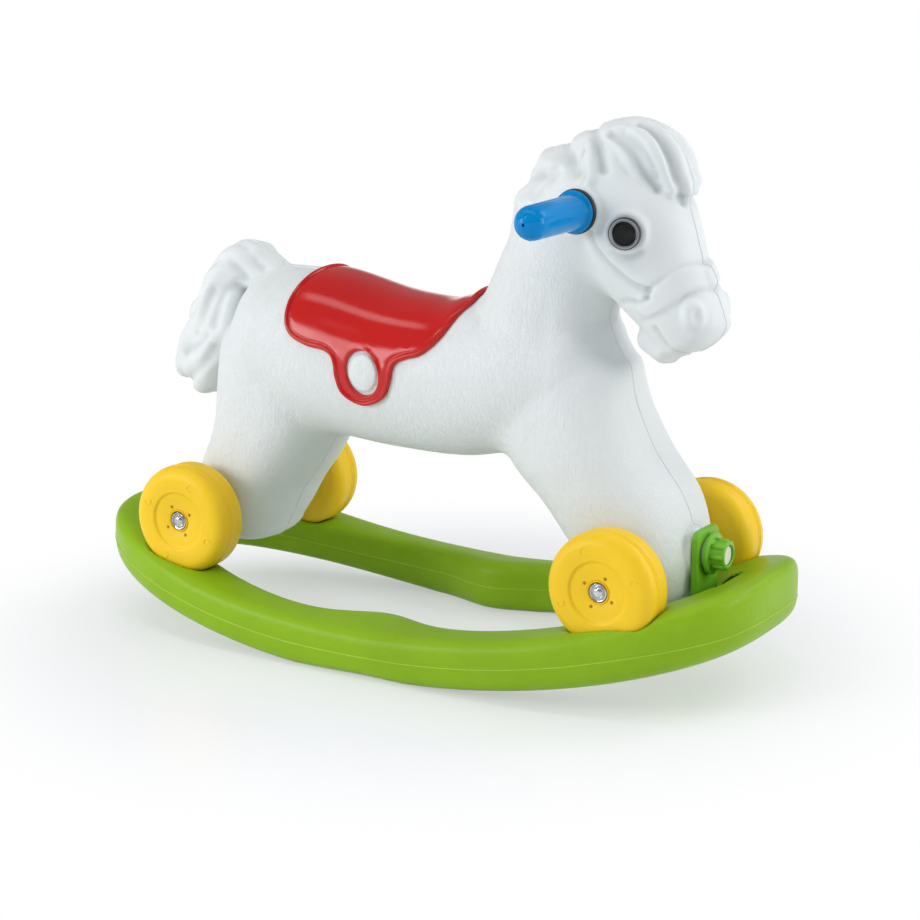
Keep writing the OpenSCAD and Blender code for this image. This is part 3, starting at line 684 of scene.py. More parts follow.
TAIL = [[-198, 226, 150, 20, 20], [-225, 234, 190, 27, 26], [-243, 209, 240, 33, 28],
        [-252, 167, 256, 35, 30], [-274, 130, 232, 33, 30]]
VENT_R, VENT_Z, VENT_REACH = 4, 70, (-10, 14)
EYE = np.array([215.0, 49.0, 308.0])
EYE_TURN = math.radians(14)


def eye_axis(side):
    return np.array([math.sin(EYE_TURN), side * math.cos(EYE_TURN), 0.0])


def eye_spot(side):
    return EYE * (1, side, 1)


def horse_field():
    """Field of the body, and one that is near zero only on the smooth head, mane and tail."""
    block = Block((-336, -92, -58), (312, 92, 416), 2.0)
    at_rump = np.clip((-190 - block.x) / 40, 0, 1)
    f = limb(block, TORSO, 52, 42)
    f = merge_by_angle(f, limb(block, HIND_LEG, 50, 22, LEG_ROUNDNESS), 20 + 30 * at_rump)
    f = merge_by_angle(f, limb(block, FORE_LEG, 30, 24, LEG_ROUNDNESS), 22)
    f = merge_by_angle(f, limb(block, NECK, 40, 26), 46)
    head = limb(block, HEAD, 34, 16)
    f = merge_by_angle(f, head, 14)
    f = merge(f, limb(block, CHIN, 14, 12), 6)
    f = soften(f, 2)
    tail, mane = limb(block, TAIL, 14, 26), limb(block, MANE, 16, 14)
    f = merge(f, tail, 5)
    f = merge(f, mane, 6)
    add_bosses(f, block)
    add_hair(f, block)
    add_face(f, block)
    vent = rod(block, (0, 0, VENT_Z), (0, 0, 1), VENT_R, *VENT_REACH)
    return block, cut(f, vent, 1.5), np.minimum(np.minimum(head, mane), tail)


def skin_under(f, block, points):
    """Skin points nearest to the given ones, and the outward directions there."""
    p = np.asarray(points, float)
    for _ in range(3):
        n = np.stack([block.sample(f, p + d) - block.sample(f, p - d) for d in np.eye(3) * 3], 1)
        n /= np.maximum(np.linalg.norm(n, axis=1, keepdims=True), 1e-6)
        p = p - n * block.sample(f, p)[:, None]
    return p, n


def strand(f, under, block, path, radius, proud, k):
    """Lays a lock of hair on the skin on both sides; radius and proud are for its start, middle and end."""
    p, n = skin_under(under, block, curve_through(path, 4))
    t = np.linspace(0, 1, len(p))
    r = np.interp(t, [0, 0.5, 1], radius)
    h = np.interp(t, [0, 0.5, 1], proud)
    lock(f, block, np.column_stack([p + n * (h - r)[:, None], r]), k)


# Radius, reach to each end and softness of the join
AXLE_SEAT = (17, -75, 75, 6)
HANDLE_SEAT = (21.4, -53, 53, 6)
STUD_SEAT = {1: (24, 238, 272, 4), -1: (24, -280, -246, 4)}
EYE_SEAT = (17, -14, 1.5, 9)
# The oval that stands in the hole of the saddle
OVAL_L, OVAL_H, OVAL_EDGE = 15.6, 17.8, 14
OVAL_Y, OVAL_CROWN = 73.0, 3.0


def add_bosses(f, block):
    """Adds the seats of the axles, the handle, the studs and the eyes, and the saddle's oval."""
    across, along = (0, 1, 0), (1, 0, 0)
    bosses = [((end * HALF_BASE, 0, 0), across, *AXLE_SEAT) for end in (1, -1)]
    bosses += [((HANDLE_X, 0, HANDLE_Z), across, *HANDLE_SEAT)]
    bosses += [((0, 0, KNOB_Z[end] - AXLE_Z), along, *STUD_SEAT[end]) for end in (1, -1)]
    bosses += [(eye_spot(side), eye_axis(side), *EYE_SEAT) for side in (RIGHT, LEFT)]
    for *shape, k in bosses:
        f[:] = merge(f, rod(block, *shape), k)
    out = np.sqrt(((block.x - SADDLE_HOLE_X) / OVAL_L) ** 2 + ((block.z - SADDLE_HOLE_Z) / OVAL_H) ** 2)
    crown = OVAL_Y + OVAL_CROWN * np.sqrt(np.maximum(1 - out * out, 0))
    f[:] = merge(f, np.maximum((out - 1) * OVAL_EDGE, np.abs(block.y) - crown).astype(np.float32), 1.0)


HAIR_RELIEF = 1.25
# Path, then radius and rise at its start, middle and end
FORELOCK = [
    ([(196, -4, 402), (208, -4, 402), (225, -6, 396), (239, -11, 387), (247, -12, 377), (252, -14, 365),
      (255, -13, 353), (254, -10, 342)], (7, 11, 6), (0.5, 4.5, 3)),
    ([(179, -25, 393), (194, -24, 397), (211, -25, 395), (223, -27, 389), (233, -29, 380), (239, -29, 368),
      (242, -27, 356), (246, -22, 345)], (6, 9, 5), (0.5, 5.5, 3)),
    ([(176, -26, 390), (184, -30, 387), (197, -35, 381), (208, -36, 371), (216, -35, 361), (224, -31, 350),
      (231, -29, 344)], (6, 9, 4), (0.5, 5.5, 1.5))]
# Width, height and path
MANE_RELIEF = [
    # Swells of the locks
    (8, 3.5, [(112, 0, 362), (120, -20, 362), (130, -32, 360)]),
    (8, 4, [(96, -10, 322), (102, -26, 322), (112, -38, 326)]),
    (5.5, 4.5, [(168, -32, 381), (174, -42, 370), (176, -46, 362), (177, -49, 354)]),
    (4.0, 4, [(253, -6, 341), (252, -4, 337), (251, -4, 334)]),
    # Grooves between the locks of the forelock
    (4.0, -7, [(209, -13, 398), (217, -13, 396), (225, -16, 390), (233, -18, 382), (239, -19, 373),
               (244, -19, 364), (247, -18, 355), (250, -14, 344), (250, -7, 333)]),
    (3.8, -7.5, [(189, -28, 391), (194, -27, 388), (202, -29, 383), (210, -31, 376), (215, -31, 368),
                 (218, -30, 361), (222, -29, 354), (227, -28, 349), (233, -27, 345)]),
    (4.5, -3.5, [(200, -26, 392), (207, -28, 387), (218, -30, 379), (227, -32, 367), (231, -29, 355)]),
    # Grooves round the ear
    (4.4, -5.5, [(158, 0, 392), (166, -15, 390), (174, -26, 384), (180, -33, 375), (184, -37, 369),
                 (189, -42, 361)]),
    (3.8, -3.2, [(161, -35, 376), (158, -38, 369), (163, -43, 361), (169, -48, 354)]),
    (3.6, -3, [(168, -43, 368), (168, -46, 362), (171, -48, 355)]),
    # Grooves between the locks down the neck
    (5.0, -5.5, [(134, 0, 377), (140, -18, 374), (148, -27, 369), (156, -38, 361), (162, -43, 357)]),
    (6.0, -4.5, [(84, 0, 337), (96, -14, 343), (110, -23, 348), (125, -32, 350), (140, -40, 355)]),
    (6.0, -2.2, [(124, -41, 337), (127, -39, 344), (134, -41, 350)])]
# The fourth value is a radius
TAIL_LOCKS = [
    [(-214, -10, 246, 11), (-236, -16, 240, 13), (-254, -24, 212, 12), (-264, -24, 172, 11)],
    [(-262, -10, 190, 14), (-283, -14, 160, 15), (-295, -11, 136, 14), (-302, -6, 126, 12)],
    [(-250, -24, 168, 12), (-261, -25, 142, 14), (-272, -18, 116, 13)],
    [(-268, -2, 200, 9), (-284, -3, 186, 11), (-288, -3, 172, 10)]]
TAIL_FURROWS = [
    (4.5, -3.4, [(-252, -26, 236), (-239, -25, 241), (-229, -25, 240), (-221, -24, 234), (-215, -22, 227)]),
    (4.5, -3.0, [(-228, -14, 259), (-218, -17, 256), (-210, -18, 248), (-203, -18, 241), (-198, -18, 238)]),
    (5.0, -3.2, [(-225, -25, 217), (-233, -28, 213), (-238, -30, 205), (-242, -31, 192), (-247, -31, 176)]),
    (4.5, -3.2, [(-247, -31, 212), (-252, -32, 202), (-257, -33, 190), (-262, -32, 179), (-269, -32, 168)]),
    (4.5, -3.0, [(-254, -35, 166), (-262, -34, 158), (-275, -30, 151), (-286, -26, 144)]),
    (5.0, -4.0, [(-249, -30, 156), (-254, -33, 144), (-267, -32, 130), (-287, -19, 116)])]


def add_hair(f, block):
    under = f.copy()
    for path, radius, proud in FORELOCK:
        strand(f, under, block, path, radius, proud, 2)
    for width, height, path in MANE_RELIEF:
        emboss(f, block, path, width, height * HAIR_RELIEF)
    for path in TAIL_LOCKS:
        lock(f, block, curve_through(path, 4), 4)
    for width, height, path in TAIL_FURROWS:
        emboss(f, block, path, width, height * HAIR_RELIEF)


# Width, height, flat and path
FACE_RELIEF = [
    # Cheek, jaw and the strap down from it
    (6.5, 4.4, 0, [(191, -52, 300), (200, -51, 288), (212, -49, 278), (223, -47, 270), (234, -43, 266)]),
    (2.8, -7, 0, [(178, -50, 309), (183, -47, 298), (191, -46, 286), (203, -45, 275), (215, -43, 266),
                  (226, -41, 261), (234, -40, 259)]),
    (3.0, -3, 0, [(234, -40, 259), (235, -41, 256), (234, -42, 252)]),
    (2.8, -3.6, 0, [(234, -42, 252), (226, -41, 246), (214, -37, 246), (204, -34, 242)]),
    # Noseband and its edges
    (3.0, 2.8, 8.0, [(232, -40, 243), (241, -42, 248), (250, -41, 254), (260, -35, 265), (268, -25, 269),
                     (275, -10, 269), (276, 0, 268)]),
    (3.0, -1.2, 0, [(234, -40, 259), (245, -41, 267), (253, -37, 272), (259, -30, 278), (264, -21, 280),
                    (268, -8, 280), (269, 0, 279)]),
    (3.0, -1.4, 0, [(224, -32, 228), (240, -39, 235), (250, -39, 241), (258, -37, 249), (269, -30, 256),
                    (276, -15, 259), (278, 0, 258)]),
    # Nostril and mouth
    (3.6, 6.0, 6.8, [(273, -31, 240), (274, -32, 235)]),
    (3.8, -8.5, 0, [(276, -31, 239), (277, -31, 234)]),
    (2.6, -7, 0, [(239, -35, 222), (243, -32, 214), (248, -30, 207), (253, -27, 203), (258, -20, 200),
                  (261, 0, 199)])]
LID_R, FOLD_R = 17.6, 21.2


def add_face(f, block):
    for width, height, flat, path in FACE_RELIEF:
        emboss(f, block, path, width, height, flat)
    axis = eye_axis(RIGHT)
    middle = eye_spot(RIGHT) + axis * 0.5
    emboss(f, block, middle + circle(np.linspace(0, 2 * np.pi, 19), axis, LID_R), 3.5, 1.2)
    emboss(f, block, middle + circle(np.linspace(4.15, 5.35, 7), axis, FOLD_R), 3.0, -6)


BODY_TRIANGLES, ROCKER_TRIANGLES = 192000, 170000


def thinned(obj, most):
    """Takes a piece down to a number of triangles, keeping the finest where it curves most."""
    count = sum(len(p.vertices) - 2 for p in obj.data.polygons)
    if count > most:
        obj.modifiers.new("thin", "DECIMATE").ratio = most / count
        made = applied(obj)
        obj.modifiers.clear()
        obj.data = made
    return obj


def add_values(obj, name, values):
    obj.data.attributes.new(name, "FLOAT", "POINT").data.foreach_set("value", values.astype(np.float32))


def make_horse():
    block, f, smooth = horse_field()
    points, quads = skin(f, block)
    points = settle(f, block, points)
    body = new_piece("horse_body_shell", points + HORSE, quads, [WHITE])
    off = np.clip((block.sample(smooth, points) - 3) / 22, 0, 1)
    add_values(body, "grain", 0.12 + 0.88 * off * off * (3 - 2 * off))
    # Painted shade: how deep each point lies in a hollow, kept as the attribute that darkens grooves in the
    # white finish.
    hollow = -block.sample(soften(f, 9), points) / block.step
    add_values(body, "groove_shade", np.clip((hollow - 0.12) / 0.85, 0, 1))
    seat_piece(thinned(body, BODY_TRIANGLES), ROOT, "body_white", "horse_body")
    lines = [line + HORSE for line in seam_lines(block, f)]
    seat_ridges("horse_mould_line", lines, 0.8, WHITE, (ROOT, "body_white"))
    return block, f


def seam_lines(block, f):
    """The outline of the body in its middle plane, in runs without a jump."""
    row = int(round(-block.low[1] / block.step))
    middle = np.stack([np.full_like(f[:, row], 9), f[:, row], f[:, row], np.full_like(f[:, row], 9)], 1)
    slab = Block(block.low, block.low, block.step)
    slab.low[1] = 0
    points, quads = skin(middle, slab)
    near = np.abs(points[:, 1] - 1.5 * block.step) < 0.1
    ways = {}
    for q in quads:
        for a, b in zip(q, np.roll(q, -1)):
            if near[a] and near[b]:
                ways.setdefault(int(a), set()).add(int(b))
                ways.setdefault(int(b), set()).add(int(a))
    loops, left = [], set(ways)
    while left:
        at = left.pop()
        loop = [at]
        while True:
            step = [n for n in ways[at] if n in left]
            if not step:
                break
            at = step[0]
            left.discard(at)
            loop.append(at)
        loops.append(loop)
    outline = settle(f, block, points[max(loops, key=len)] * (1, 0, 1)) * (1, 0, 1)
    outline = np.vstack([outline, outline[:1]])
    jumps = np.where(np.linalg.norm(np.diff(outline, axis=0), axis=1) > 3 * block.step)[0] + 1
    return [run for run in np.split(outline, jumps) if len(run) > 8]


# Saddle

SADDLE_LINE = [[-122, 275], [-136, 230], [-138, 205], [-130, 187], [-110, 178], [-90, 175], [-81, 170],
               [-77.5, 162], [-76, 152], [-68, 136], [-46, 127.5], [-24, 136], [-16, 152], [-14.5, 162],
               [-11, 170], [-2, 174.5], [14, 180], [28, 193], [41, 212], [57, 238], [67, 275]]
# Distance in from the edge, and the height of the rolled edge and of the hole's edge there
EDGE_STEPS = [0.5, 1.1, 1.9, 2.8, 3.6, 4.3, 4.9, 5.5, 6.3, 7.6]
EDGE_RISE = [2.0, 3.6, 4.4, 4.9, 5.0, 4.7, 4.0, 3.0, 2.75, 3.1, 3.4]
HOLE_RISE = [2.2, 2.9, 3.2, 3.35, 9.0]
GRID, GRID_CLEAR = 4.5, 9.5
HOLE_HALF_L, HOLE_HALF_S = 18, 20.5
SADDLE_GAP = 0.4
TORSO_MID_Z = 150


def torso_girth(x):
    """Torso section at x as y and z by length round from the top."""
    st = curve_through(TORSO, 24)
    zc, hy, hn = (np.interp(x, st[:, 0], st[:, i]) for i in (1, 3, 4))
    p = np.radians(np.linspace(90, -60, 400))
    e = 2 / BODY_ROUNDNESS
    y = hy * np.sign(np.cos(p)) * np.abs(np.cos(p)) ** e
    z = zc + hn * np.sign(np.sin(p)) * np.abs(np.sin(p)) ** e
    g = np.concatenate([[0], np.cumsum(np.hypot(np.diff(y), np.diff(z)))])
    return g, y, z


def wrap_on_torso(flat):
    """Places points of x and girth on the torso; a girth below zero is the right side."""
    out = np.zeros((len(flat), 3))
    for i, (x, s) in enumerate(flat):
        g, y, z = torso_girth(x)
        out[i] = x, math.copysign(np.interp(abs(s), g, y), s), np.interp(abs(s), g, z)
    return out


def resample(line, gap, closed):
    line = np.asarray(line, float)
    if closed:
        line = np.vstack([line, line[:1]])
    d = np.concatenate([[0], np.cumsum(np.linalg.norm(np.diff(line, axis=0), axis=1))])
    n = max(int(round(d[-1] / gap)), 3)
    t = np.linspace(0, d[-1], n + 1)
    out = np.stack([np.interp(t, d, line[:, i]) for i in range(line.shape[1])], 1)
    return out[:-1] if closed else out


def saddle_flat_outline():
    """Saddle edge in x and girth, the right half first and then the left."""
    half = []
    for x, z in resample(curve_through(SADDLE_LINE, 8), 1.0, False):
        g, _, height = torso_girth(x)
        if z < height[0]:
            half.append((x, np.interp(-z, -height, g)))
    half = np.array([(half[0][0], 0.0)] + half + [(half[-1][0], 0.0)])
    return resample(np.vstack([half * (1, -1), half[::-1][1:-1]]), 2.2, True)


def spread(points, line):
    """Distance of each point to a closed line."""
    a, b = line, np.roll(line, -1, 0)
    d = b - a
    best = np.full(len(points), 1e9)
    for p, q in zip(a, d):
        t = np.clip(((points - p) @ q) / max(q @ q, 1e-9), 0, 1)
        best = np.minimum(best, np.linalg.norm(points - p - t[:, None] * q, axis=1))
    return best


def nearest(points, lines):
    """Distance of each point to the nearest of some closed lines."""
    return np.min([spread(points, line) for line in lines], 0)


def within(points, line):
    """Which points lie inside a closed line."""
    x, y = points[:, 0], points[:, 1]
    inside = np.zeros(len(points), bool)
    for (x0, y0), (x1, y1) in zip(line, np.roll(line, -1, 0)):
        hit = (y0 > y) != (y1 > y)
        inside ^= hit & (x < (x1 - x0) * (y - y0) / (y1 - y0 if y1 != y0 else 1) + x0)
    return inside


def on_saddle(points, loops):
    """Which points lie within the edge, the first loop, and outside the holes."""
    keep = within(points, loops[0])
    for hole in loops[1:]:
        keep &= ~within(points, hole)
    return keep


def saddle_points(loops):
    """Points within the edge and outside the holes: rows along each of them, and a grid between."""
    points = []
    for line in loops:
        along = np.roll(line, -1, 0) - np.roll(line, 1, 0)
        normal = np.stack([-along[:, 1], along[:, 0]], 1)
        normal /= np.linalg.norm(normal, axis=1, keepdims=True)
        for depth in EDGE_STEPS:
            for way in (1, -1):
                moved = line + normal * depth * way
                points.append(moved[spread(moved, line) > depth * 0.93])
    gx, gs = np.meshgrid(np.arange(-140, 76, GRID), np.arange(-180, 181, GRID))
    grid = np.stack([gx.ravel(), gs.ravel()], 1)
    points = np.vstack(points + [grid[nearest(grid, loops) > GRID_CLEAR]])
    return points[on_saddle(points, loops) & (nearest(points, loops) > 0.4)]


def saddle_triangles(loops):
    """Points of the saddle in x and girth, and the triangles between them."""
    links, at = [], 0
    for line in loops:
        n = len(line)
        links += [(at + i, at + (i + 1) % n) for i in range(n)]
        at += n
    points = np.vstack(loops + [saddle_points(loops)])
    made = delaunay_2d_cdt([Vector(p) for p in points], links, [], 1, 1e-5)
    flat = np.array([tuple(v) for v in made[0]])
    tris = np.array([t for t in made[2] if len(t) == 3])
    return flat, tris[on_saddle(flat[tris].mean(1), loops)]


def make_saddle(block, f):
    edge = saddle_flat_outline()
    g, _, height = torso_girth(SADDLE_HOLE_X)
    mid = np.interp(-SADDLE_HOLE_Z, -height, g)
    t = np.linspace(0, 2 * np.pi, 44, endpoint=False)
    holes = [np.stack([SADDLE_HOLE_X + HOLE_HALF_L * np.cos(t), s * mid + HOLE_HALF_S * np.sin(t)], 1)
             for s in (RIGHT, LEFT)]
    flat, tris = saddle_triangles([edge] + holes)
    rise = np.interp(spread(flat, edge), [0] + EDGE_STEPS, EDGE_RISE)
    rise = np.minimum(rise, np.interp(nearest(flat, holes), [0] + EDGE_STEPS[:4], HOLE_RISE))
    base = wrap_on_torso(flat)
    out = (base - (0, 0, TORSO_MID_Z)) * (0, 1, 1)
    out /= np.linalg.norm(out, axis=1, keepdims=True)

    def lifted(off):
        p = base.copy()
        for _ in range(8):
            p = p - out * (block.sample(f, p) - off)[:, None]
        return p

    top, low = lifted(rise), lifted(np.full(len(flat), SADDLE_GAP))
    n = len(flat)
    seen = {(int(a), int(b)): None for tri in tris for a, b in zip(tri, np.roll(tri, -1))}
    walls = [(b, a, a + n, b + n) for a, b in seen if (b, a) not in seen]
    a, b, c = top[tris[:, 0]], top[tris[:, 1]], top[tris[:, 2]]
    facing = (np.cross(b - a, c - a) * out[tris[:, 0]]).sum()
    faces = [list(t) for t in tris] + [list(t[::-1] + n) for t in tris] + [list(wall) for wall in walls]
    if facing < 0:
        faces = [face[::-1] for face in faces]
    saddle = new_piece("saddle_shell", np.vstack([top, low]) + HORSE, faces, [RED], sharp=60)
    seat_piece(saddle, ROOT, "saddle_red", "saddle")


# Grips and eyes

GRIP_IN, GRIP_RING_IN = 58, 53.4


def make_grips():
    def tip(a0, a1, n):
        return [(15.5 * math.cos(a), 76 + 15.6 * math.sin(a)) for a in np.radians(np.linspace(a0, a1, n))]

    profile = ([(0, 0), (18.4, 0), (19.1, 0.5), (19.4, 1.3), (19.4, 2.4), (19.0, 3.3), (18.0, 3.9),
                (16.9, 4.4), (16.3, 5.2), (16.1, 7)] + [(16.0 - 0.006 * h, h) for h in (20, 40, 60, 74)]
               + tip(0, 82, 12) + [(1.5, 91.8), (1.4, 91.4), (1.3, 86), (0, 85.5)])
    seam = [(15.9, 8), (15.8, 40), (15.6, 74)] + tip(2, 80, 10)
    for side, name in SIDES:
        origin = HORSE + (HANDLE_X, side * GRIP_IN, HANDLE_Z)
        turned_piece(name + "_grip_sleeve", profile, origin, (0, side, 0), BLUE, 50,
                     (ROOT, "grip_blue", name + "_grip"))
        lines = [[origin + np.array([0, side * h, sign * r]) for r, h in seam] for sign in (1, -1)]
        seat_ridges(name + "_grip_mould_line", lines, 0.28, BLUE, (ROOT, "grip_blue"))
    # A dark ring at the base of each grip is painted shade in the gap against the head.
    ring = [(11.4, 0), (19.7, 0), (20.2, 0.5), (20.2, 3.6), (19.7, 4.2), (11.4, 4.2)]
    both = gather([turned(ring, HORSE + (HANDLE_X, s * GRIP_RING_IN, HANDLE_Z), (0, s, 0))[:2]
                   for s in (RIGHT, LEFT)])
    seat_piece(new_piece("grip_base_shade_rings", *both, [GRIP_GAP_SHADE], sharp=40), ROOT, "trim_grey", "grip_rings")


def make_eyes():
    bezel = [(0, 1.9), (14.2, 1.9), (14.5, 2.3)] + arc(13.7, 7.1, 0.8, 0, 90, 5) + [(13.4, 7.85)]
    iris = [(13.3, 7.6), (12.2, 7.2), (12.0, 6.8), (12.0, 5.6), (11.8, 5.4), (0, 5.4)]
    pupil = [(0, 5.8), (10.3, 5.8), (10.5, 6.1), (10.5, 6.9), (10.2, 7.2), (0, 7.2)]
    reach, rise, top = 11.0, 4.0, 12.6
    ball = (reach ** 2 + rise ** 2) / (2 * rise)
    edge = math.asin(reach / ball)
    dome = [(ball * math.sin(a), top - ball + ball * math.cos(a)) for a in np.linspace(edge, 0, 12)]
    lens = [(0, 7.6), (10.8, 7.6), (11, 7.8)] + dome
    for side, name in SIDES:
        spot, axis = HORSE + eye_spot(side), eye_axis(side)
        points, faces, band = turned(bezel + iris, spot, axis, 72)
        ring = new_piece(name + "_eye_bezel", points, faces, [BEZEL, IRIS],
                         [1 if b >= len(bezel) - 1 else 0 for b in band], sharp=50)
        seat_piece(ring, ROOT, "trim_grey", name + "_eye_ring")
        for end, shape, mat, slot, node in (("disc", pupil, PUPIL, "eye_black", "pupil"),
                                            ("dome", lens, LENS, "eye_clear", "lens")):
            turned_piece(name + "_eye_" + end, shape, spot, axis, mat, 50,
                         (ROOT, slot, name + "_eye_" + node), 72)


# Wheels and axles

WHEEL_IN, CAP_IN = 81.6, 115.4
SEAM_R, SEAMS_H = 52.85, (24.0, 27.5)
PIPS_H, CRESCENTS_H = 39.3, 41.95


def make_wheels():
    tread = arc(41, 12, 12, -90, -8, 8) + [(52.9, 14), (53, 21), (52.9, 28)] + arc(41, 30, 12, 8, 90, 10)
    face = [(30.4, 42), (29.4, 41.8), (28.6, 41.3), (28.0, 40.6), (27.4, 40.0), (26.4, 39.7), (25.0, 39.6),
            (12.1, 39.6), (11.4, 39.2), (11.3, 38.2), (9.4, 31.0)]
    profile = [(9.4, 0)] + tread + face + [(9.4, 0)]
    sleeve = [(4.5, 0), (9.0, 0), (9.0, 31.6), (13.9, 31.6), (14.1, 31.9), (14.1, 38.4), (13.8, 38.7),
              (11.3, 38.9), (11.0, 40.2), (10.5, 40.6), (9.9, 40.4), (9.5, 39.9), (9.4, 33.6),
              (4.5, 33.6), (4.5, 0)]
    t = np.linspace(0, 2 * np.pi, 128, endpoint=False)
    for end, side, name in [(e, s, a + "_" + b) for e, a in ENDS for s, b in SIDES]:
        body = name + "_wheel"
        origin, axis = HORSE + (end * HALF_BASE, side * WHEEL_IN, 0), (0, side, 0)
        w = axes_along(axis)[2]
        turned_piece(body + "_shell", profile, origin, axis, YELLOW, 42, (body, "wheel_yellow", body), 128)
        lines = [origin + w * h + circle(t, axis, SEAM_R) for h in SEAMS_H]
        seat_ridges(body + "_mould_lines", lines, 0.6, YELLOW, (body, "wheel_yellow"), closed=True)
        # The pips take the darker yellow of painted shade.
        seat_ring(body + "_pips", FACE_PIPS, origin + w * PIPS_H, axis, (body, "wheel_yellow"), Count=4,
                  Ring_Radius=15.2 * MM, Pip_Radius=1.8 * MM, Start_Turn=1.10 + 0.5 * (1 - end), Finish=PIP_SHADE)
        seat_ring(body + "_crescents", FACE_CRESCENTS, origin + w * CRESCENTS_H, axis, (body, "wheel_yellow"),
                  Count=4, Ring_Radius=38.5 * MM, Mark_Radius=3.4 * MM, Line_Radius=0.7 * MM,
                  Start_Turn=0.25 + 0.4 * end + 0.28 * side, Finish=YELLOW)
        turned_piece(name + "_hub_sleeve", sleeve, origin - w * 0.2, axis, HUB, 40,
                     (body, "hub_yellow", name + "_hub"), 64)


def make_axle_caps():
    cap = [(0, 0), (8.3, 0), (8.7, 0.4), (8.7, 5.2), (8.5, 5.9), (8.0, 6.2), (7.4, 6.0), (6.7, 5.0),
           (6.2, 4.4), (5.6, 4.3), (5.2, 4.8), (5.0, 5.8), (4.5, 6.9), (3.5, 7.6), (2.0, 7.9), (0, 8.0)]
    spots = [(e * HALF_BASE, s * CAP_IN) for e in (1, -1) for s in (RIGHT, LEFT)]
    caps = gather([turned(cap, HORSE + (x, y, 0), (0, math.copysign(1, y), 0), 64)[:2] for x, y in spots])
    seat_piece(new_piece("axle_push_caps", *caps, [CHROME], sharp=35), ROOT, "cap_chrome", "axle_caps")


# Rocker and its fixings

RAIL_ROUNDNESS = 4.0
RAIL_SLOPE = 7.0
INNER_DROP = 4.0
INNER_LIFT = 8.0
STAND_FLAT = 1.8
STAND_X = -18.0
RAIL_TALL, RAIL_GAIN = 52, 8
# Reach along x of the shaped rails, and of the drop and the lift on their inner side
SHAPED_REACH, DROP_REACH, LIFT_REACH = 250, 70, 120
FOOTREST_IN, FOOTREST_REACH = 24, 48
FRONT_R, REAR_R = 1120, 900
HALF_L, HALF_W, OUTER_ROUNDNESS = 352, 152, 3.2
HOLE_L, HOLE_W, HOLE_ROUNDNESS = 289, 112, 2.1
WELL_LIP = 3.0
WELL_R, WELL_HALF, WELL_ROUND, WHEEL_Y = 54.2, 21.8, 14, 102.6
# Floor height and far end of the room round each knob
POCKET = {1: (79.0, 306.2), -1: (75.0, 318.2)}
POCKET_IN, POCKET_HALF = 266, 25.5


def arc_up(x, r):
    return r - np.sqrt(r ** 2 - (x - STAND_X) ** 2)


def rail_low(x):
    return np.maximum(np.where(x < STAND_X, arc_up(x, REAR_R), arc_up(x, FRONT_R)) - STAND_FLAT, 0)


def rail_top(x):
    return arc_up(x, FRONT_R) + RAIL_TALL + RAIL_GAIN * (x / HALF_L) ** 2


def away(x, reach):
    """Grows from 0 at mid length to 1 beyond the reach."""
    return 1 - np.exp(-(x / reach) ** 2)


def oval(s, a, b, e):
    c, d = np.cos(s), np.sin(s)
    size = (np.abs(c) ** e + np.abs(d) ** e) ** (1 / e)
    return np.stack([a * c / size, b * d / size], 1)


def ring_lines(n):
    s = np.linspace(0, 2 * np.pi, n, endpoint=False)
    outer = oval(s, HALF_L, HALF_W, OUTER_ROUNDNESS)
    hole = oval(s, HOLE_L, HOLE_W, HOLE_ROUNDNESS)
    hole[:, 1] -= np.sign(hole[:, 1]) * FOOTREST_IN * np.exp(-(hole[:, 0] / FOOTREST_REACH) ** 2)
    return outer, hole


def rocker_field():
    block = Block((-360, -160, -6), (360, 160, 122), 2.5)
    outer, hole = ring_lines(360)
    flat = np.stack(np.broadcast_arrays(block.x[:, :, 0], block.y[:, :, 0]), -1).reshape(-1, 2).astype(float)
    shape = (block.count[0], block.count[1])
    from_out = (spread(flat, outer) * np.where(within(flat, outer), 1, -1)).reshape(shape)
    from_in = (spread(flat, hole) * np.where(within(flat, hole), -1, 1)).reshape(shape)
    half = np.maximum(from_in + from_out, 12)[:, :, None] / 2
    across = (from_in - from_out)[:, :, None] / 2
    x = block.x.astype(float)
    low = rail_low(x)
    tall = (rail_top(x) - low) / 2
    up = block.z - low - tall
    share = np.clip(across / half, -1, 1)
    middle = np.exp(-(x / SHAPED_REACH) ** 6)
    drop = (RAIL_SLOPE * (1 + share) + INNER_DROP * away(x, DROP_REACH) * (1 - share)) / 2 * middle
    lift = INNER_LIFT * away(np.minimum(x - STAND_X, 0), LIFT_REACH) * (1 - share) / 2 * middle
    height = np.where(up > 0, up / (tall - drop), up / (tall - lift))
    f = np.maximum((np.abs(across / half) ** RAIL_ROUNDNESS + np.abs(height) ** RAIL_ROUNDNESS)
                   ** (1 / RAIL_ROUNDNESS), 1e-3)
    reach = np.sqrt(across ** 2 + up ** 2)
    f = np.clip(reach - reach / f, -30, 40).astype(np.float32)
    lip = (WELL_LIP - from_out)[:, :, None].astype(np.float32)
    for end in (1, -1):
        for side in (RIGHT, LEFT):
            f = cut(f, np.maximum(wheel_well(block, end, side), lip), 3.5)
    for end in (1, -1):
        f = cut(f, knob_pocket(block.x, block.y, block.z, end).astype(np.float32), 2)
    return block, f


def knob_pocket(x, y, z, end):
    """Field of the room round a bracket and its knob."""
    floor, reach = POCKET[end]
    room = np.maximum(np.maximum(POCKET_IN - end * x, end * x - reach), np.abs(y) - POCKET_HALF)
    return np.maximum(room, floor - z)


